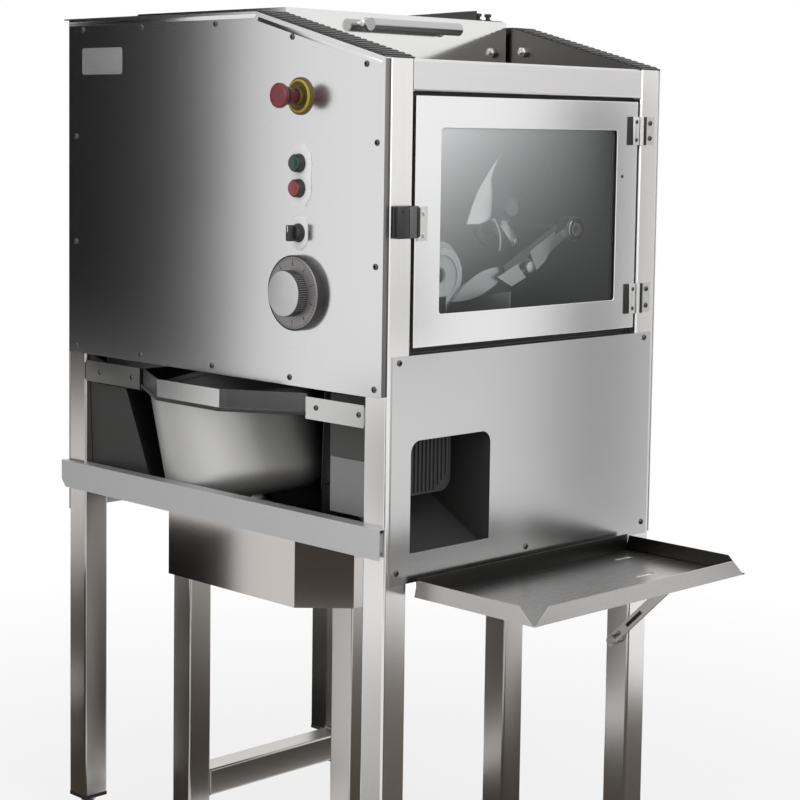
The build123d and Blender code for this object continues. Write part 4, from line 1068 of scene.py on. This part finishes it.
for name, node, body, z, slot, material in (
    ("start_cap", "start_button", "start", start_z, "green_plastic", green),
    ("stop_cap", "stop_button", "stop", stop_z, "red_plastic", cap_red),
):
    seat = at(plate_face, control_y, z)
    cap = turned_piece(name, body, material, seat, to_left, [
        *stem_end, (9.8, stem_radius), (9.8, 12.3), (12.4, 12.3), (13.2, 11.8), (13.5, 10.8),
        (13.2, 9.6), (13.2, 0),
    ], 40)
    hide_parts(node)

# Selector: a black moulded knob with a raised handle and a white line on it.
# Its stem goes through the panel to its own switch block.
bm = bmesh.new()
turned(bm, at(plate_face, control_y, selector_z), to_left, [
    *stem_end, (5.2, stem_radius), (5.2, 13.2), (11, 13), (12, 12.4), (12.4, 11.4), (12.4, 0),
], 40)
slab(bm, at(-37.4, 187.2, 1117.2), at(-25, 196.8, 1142.8), 1.6)
knob = piece("selector_handle", bm, "selector", black_plastic)
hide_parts("selector_knob")
white_line = ((-37.7, 191.2, 1132), (-37.2, 192.8, 1141.5))
bars("selector_line", "selector", "white_plastic", white_plastic, 0.2, white_line)

# Dial: a spun aluminium scale with engraved marks and numbers, in a black base ring.
# A raised aluminium knob with a grooved grip turns in its middle.
dial_z = 1034
dial_centre = at(-26, control_y, dial_z)


def spun_metal(name, tone, rough):
    # Turned aluminium: fine rings about the dial's own axis
    material, wire, shader, place = surface(name)
    about = wire.node("ShaderNodeMapping", {}, {0: place, 1: tuple(-dial_centre)})
    along = wire.node("ShaderNodeCombineXYZ", {}, {X: off_axis(wire, about, (0, 1, 1))})
    rings = noise(wire, along, (1500.0, 1.0, 1.0), 2.0)
    wear = noise(wire, place, 25.0, 4.0)
    feed(
        wire, shader,
        Base_Color=blend(wire, rings * 0.5 + wear * 0.5, *shades(tone, 0.85, 1.12)),
        Roughness=rough - 0.05 + 0.06 * rings + 0.06 * wear,
        Metallic=0.85,
        Normal=bump(wire, rings, 0.06, 0.0003),
    )
    return material


knob_metal = spun_metal("knob_metal", (0.60, 0.60, 0.61), 0.40)
grip_metal = spun_metal("grip_metal", (0.13, 0.125, 0.12), 0.40)
dress(spun_metal("scale_metal", (0.30, 0.29, 0.287), 0.42), "dial_scale")
hub_foot = at(-26.3, control_y, dial_z)
hub = turned_piece("dial_hub", "dial", knob_metal, hub_foot, to_left, [
    (-28.3, 0), (-28.3, 6), (0, 6), (0, 35.5), (18, 35.5), (19, 36.2), (19.5, 35.8),
    (19.7, 34.8), (19.7, 0),
], 64)
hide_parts("dial_knob")
base_foot = at(panel_face, control_y, dial_z)
turned_piece("dial_base_ring", "frame", black_plastic, base_foot, to_left, [
    (0, 59), (0, 60.6), (12.2, 60.6), (13, 60.3), (13, 59), (0, 59),
], 72)


def on_dial(angle, radius, out):
    return dial_centre + Vector((-out, -sin(angle) * radius, cos(angle) * radius))


engraving = moulded("engraving_ink", grey(0.012), 0.5)
divisions, scale_edge, number_radius = 60, 56.4, 0.0465
bm = bmesh.new()
for step in range(divisions):
    angle = 2 * pi * step / divisions
    length = 4.6 if step % 6 == 0 else 2.6
    middle = on_dial(angle, (scale_edge - length / 2) / 1000, 0.0001)
    half = Vector((0.0002, 0.0004, length / 2000))
    slab(bm, middle - half, middle + half, 0.0, Matrix.Rotation(angle, 3, "X"))
facing = Matrix(((0, 0, -1), (-1, 0, 0), (0, 1, 0)))
for number in range(10):
    angle = 2 * pi * number / 10
    lettering = bpy.data.curves.new("dial_number", "FONT")
    lettering.body = str(number)
    lettering.size = 0.0085
    lettering.extrude = 0.0002
    lettering.align_x = "CENTER"
    lettering.align_y = "CENTER"
    holder = bpy.data.objects.new("dial_number", lettering)
    scene.collection.objects.link(holder)
    shaped = holder.evaluated_get(bpy.context.evaluated_depsgraph_get())
    flat_number = bpy.data.meshes.new_from_object(shaped)
    before = set(bm.verts)
    bm.from_mesh(flat_number)
    fresh = [vert for vert in bm.verts if vert not in before]
    turn = facing @ Matrix.Rotation(-angle, 3, "Z")
    bmesh.ops.rotate(bm, verts=fresh, cent=(0, 0, 0), matrix=turn)
    out_to = facing @ Vector((sin(angle), cos(angle), 0)) * number_radius
    bmesh.ops.translate(bm, verts=fresh, vec=dial_centre + out_to)
    bpy.data.objects.remove(holder)
piece("dial_marks", bm, "frame", engraving)

grip_ridges, grip_radius = 60, 0.0355
bm = bmesh.new()
for step in range(grip_ridges):
    angle = 2 * pi * step / grip_ridges
    middle = on_dial(angle, grip_radius, 0.0092)
    half = Vector((0.0086, 0.0010, 0.0010))
    slab(bm, middle - half, middle + half, 0.0, Matrix.Rotation(angle + pi / 4, 3, "X"))
piece("knob_grip", bm, "dial", grip_metal)

# Screws: dark steel button heads with hexagon sockets, along the edges of the sheets.
# Smaller ones hold the brackets of the collar and the hinge leaves.
screw_dark = brushed("screw_dark", grey(0.10), 0.35, Z)


def button_head(bm, base, axis, radius, height):
    axis = Vector(axis)
    dome = [
        (0, radius), (0.35 * height, radius), (0.8 * height, 0.8 * radius),
        (height, 0.62 * radius),
    ]
    turned(bm, base, axis, dome, 20)
    tip = base + axis * (height / 1000)
    rim = [
        edge for edge in bm.edges
        if edge.is_boundary and all(abs((v.co - tip).dot(axis)) < 1e-6 for v in edge.verts)
        and all((v.co - tip).length < radius / 1000 for v in edge.verts)
    ]
    socket = bmesh.ops.create_circle(bm, segments=6, radius=0.5 * radius / 1000)["verts"]
    set_on(bm, socket, axis, tip)
    socket_edges = edges_of(socket)
    bmesh.ops.bridge_loops(bm, edges=rim + socket_edges)
    sunk = bmesh.ops.extrude_edge_only(bm, edges=socket_edges)["geom"]
    bmesh.ops.translate(bm, verts=verts_in(sunk), vec=-axis * (0.6 * height / 1000))
    floor_edges = [item for item in sunk if isinstance(item, bmesh.types.BMEdge)]
    bmesh.ops.contextual_create(bm, geom=floor_edges)


to_right = (1, 0, 0)
bm = bmesh.new()
panel_rows = [(y, 896) for y in (16, 212, 409, 606, 797)]
panel_rows += [(y, z) for y in (16, 798) for z in (1086, 1276)]
panel_rows += [(41, 1396), (213, 1441), (405, 1466), (606, 1466), (778, 1466)]
for y, z in panel_rows:
    button_head(bm, at(panel_face, y, z), to_left, 5, 2.5)
    button_head(bm, at(661.5, y, z), to_right, 5, 2.5)
for y in (60, 159, 644, 739):
    button_head(bm, at(-2, y, 851), to_left, 4.5, 2.5)
for x, z in ((25, 936), (632, 937), (24, 606), (328, 606), (636, 607)):
    button_head(bm, at(x, -2, z), to_front, 5, 2.5)
for z in (1287, 1313, 994, 1023):
    button_head(bm, at(634, -2, z), to_front, 4.5, 2.5)
button_head(bm, at(85, 130, 575), to_front, 4.5, 2.5)
heads = piece("cover_screw_heads", bm, "frame", screw_dark)
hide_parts("cover_screws")

bm = bmesh.new()
button_head(bm, at(560, -2, 1221), to_front, 3, 1.5)
for low, high in hinge_spans:
    for z in (low + 9, high - 9):
        button_head(bm, at(591, -6.6, z), to_front, 3.6, 1.5)
piece("door_screws", bm, "door", screw_dark)
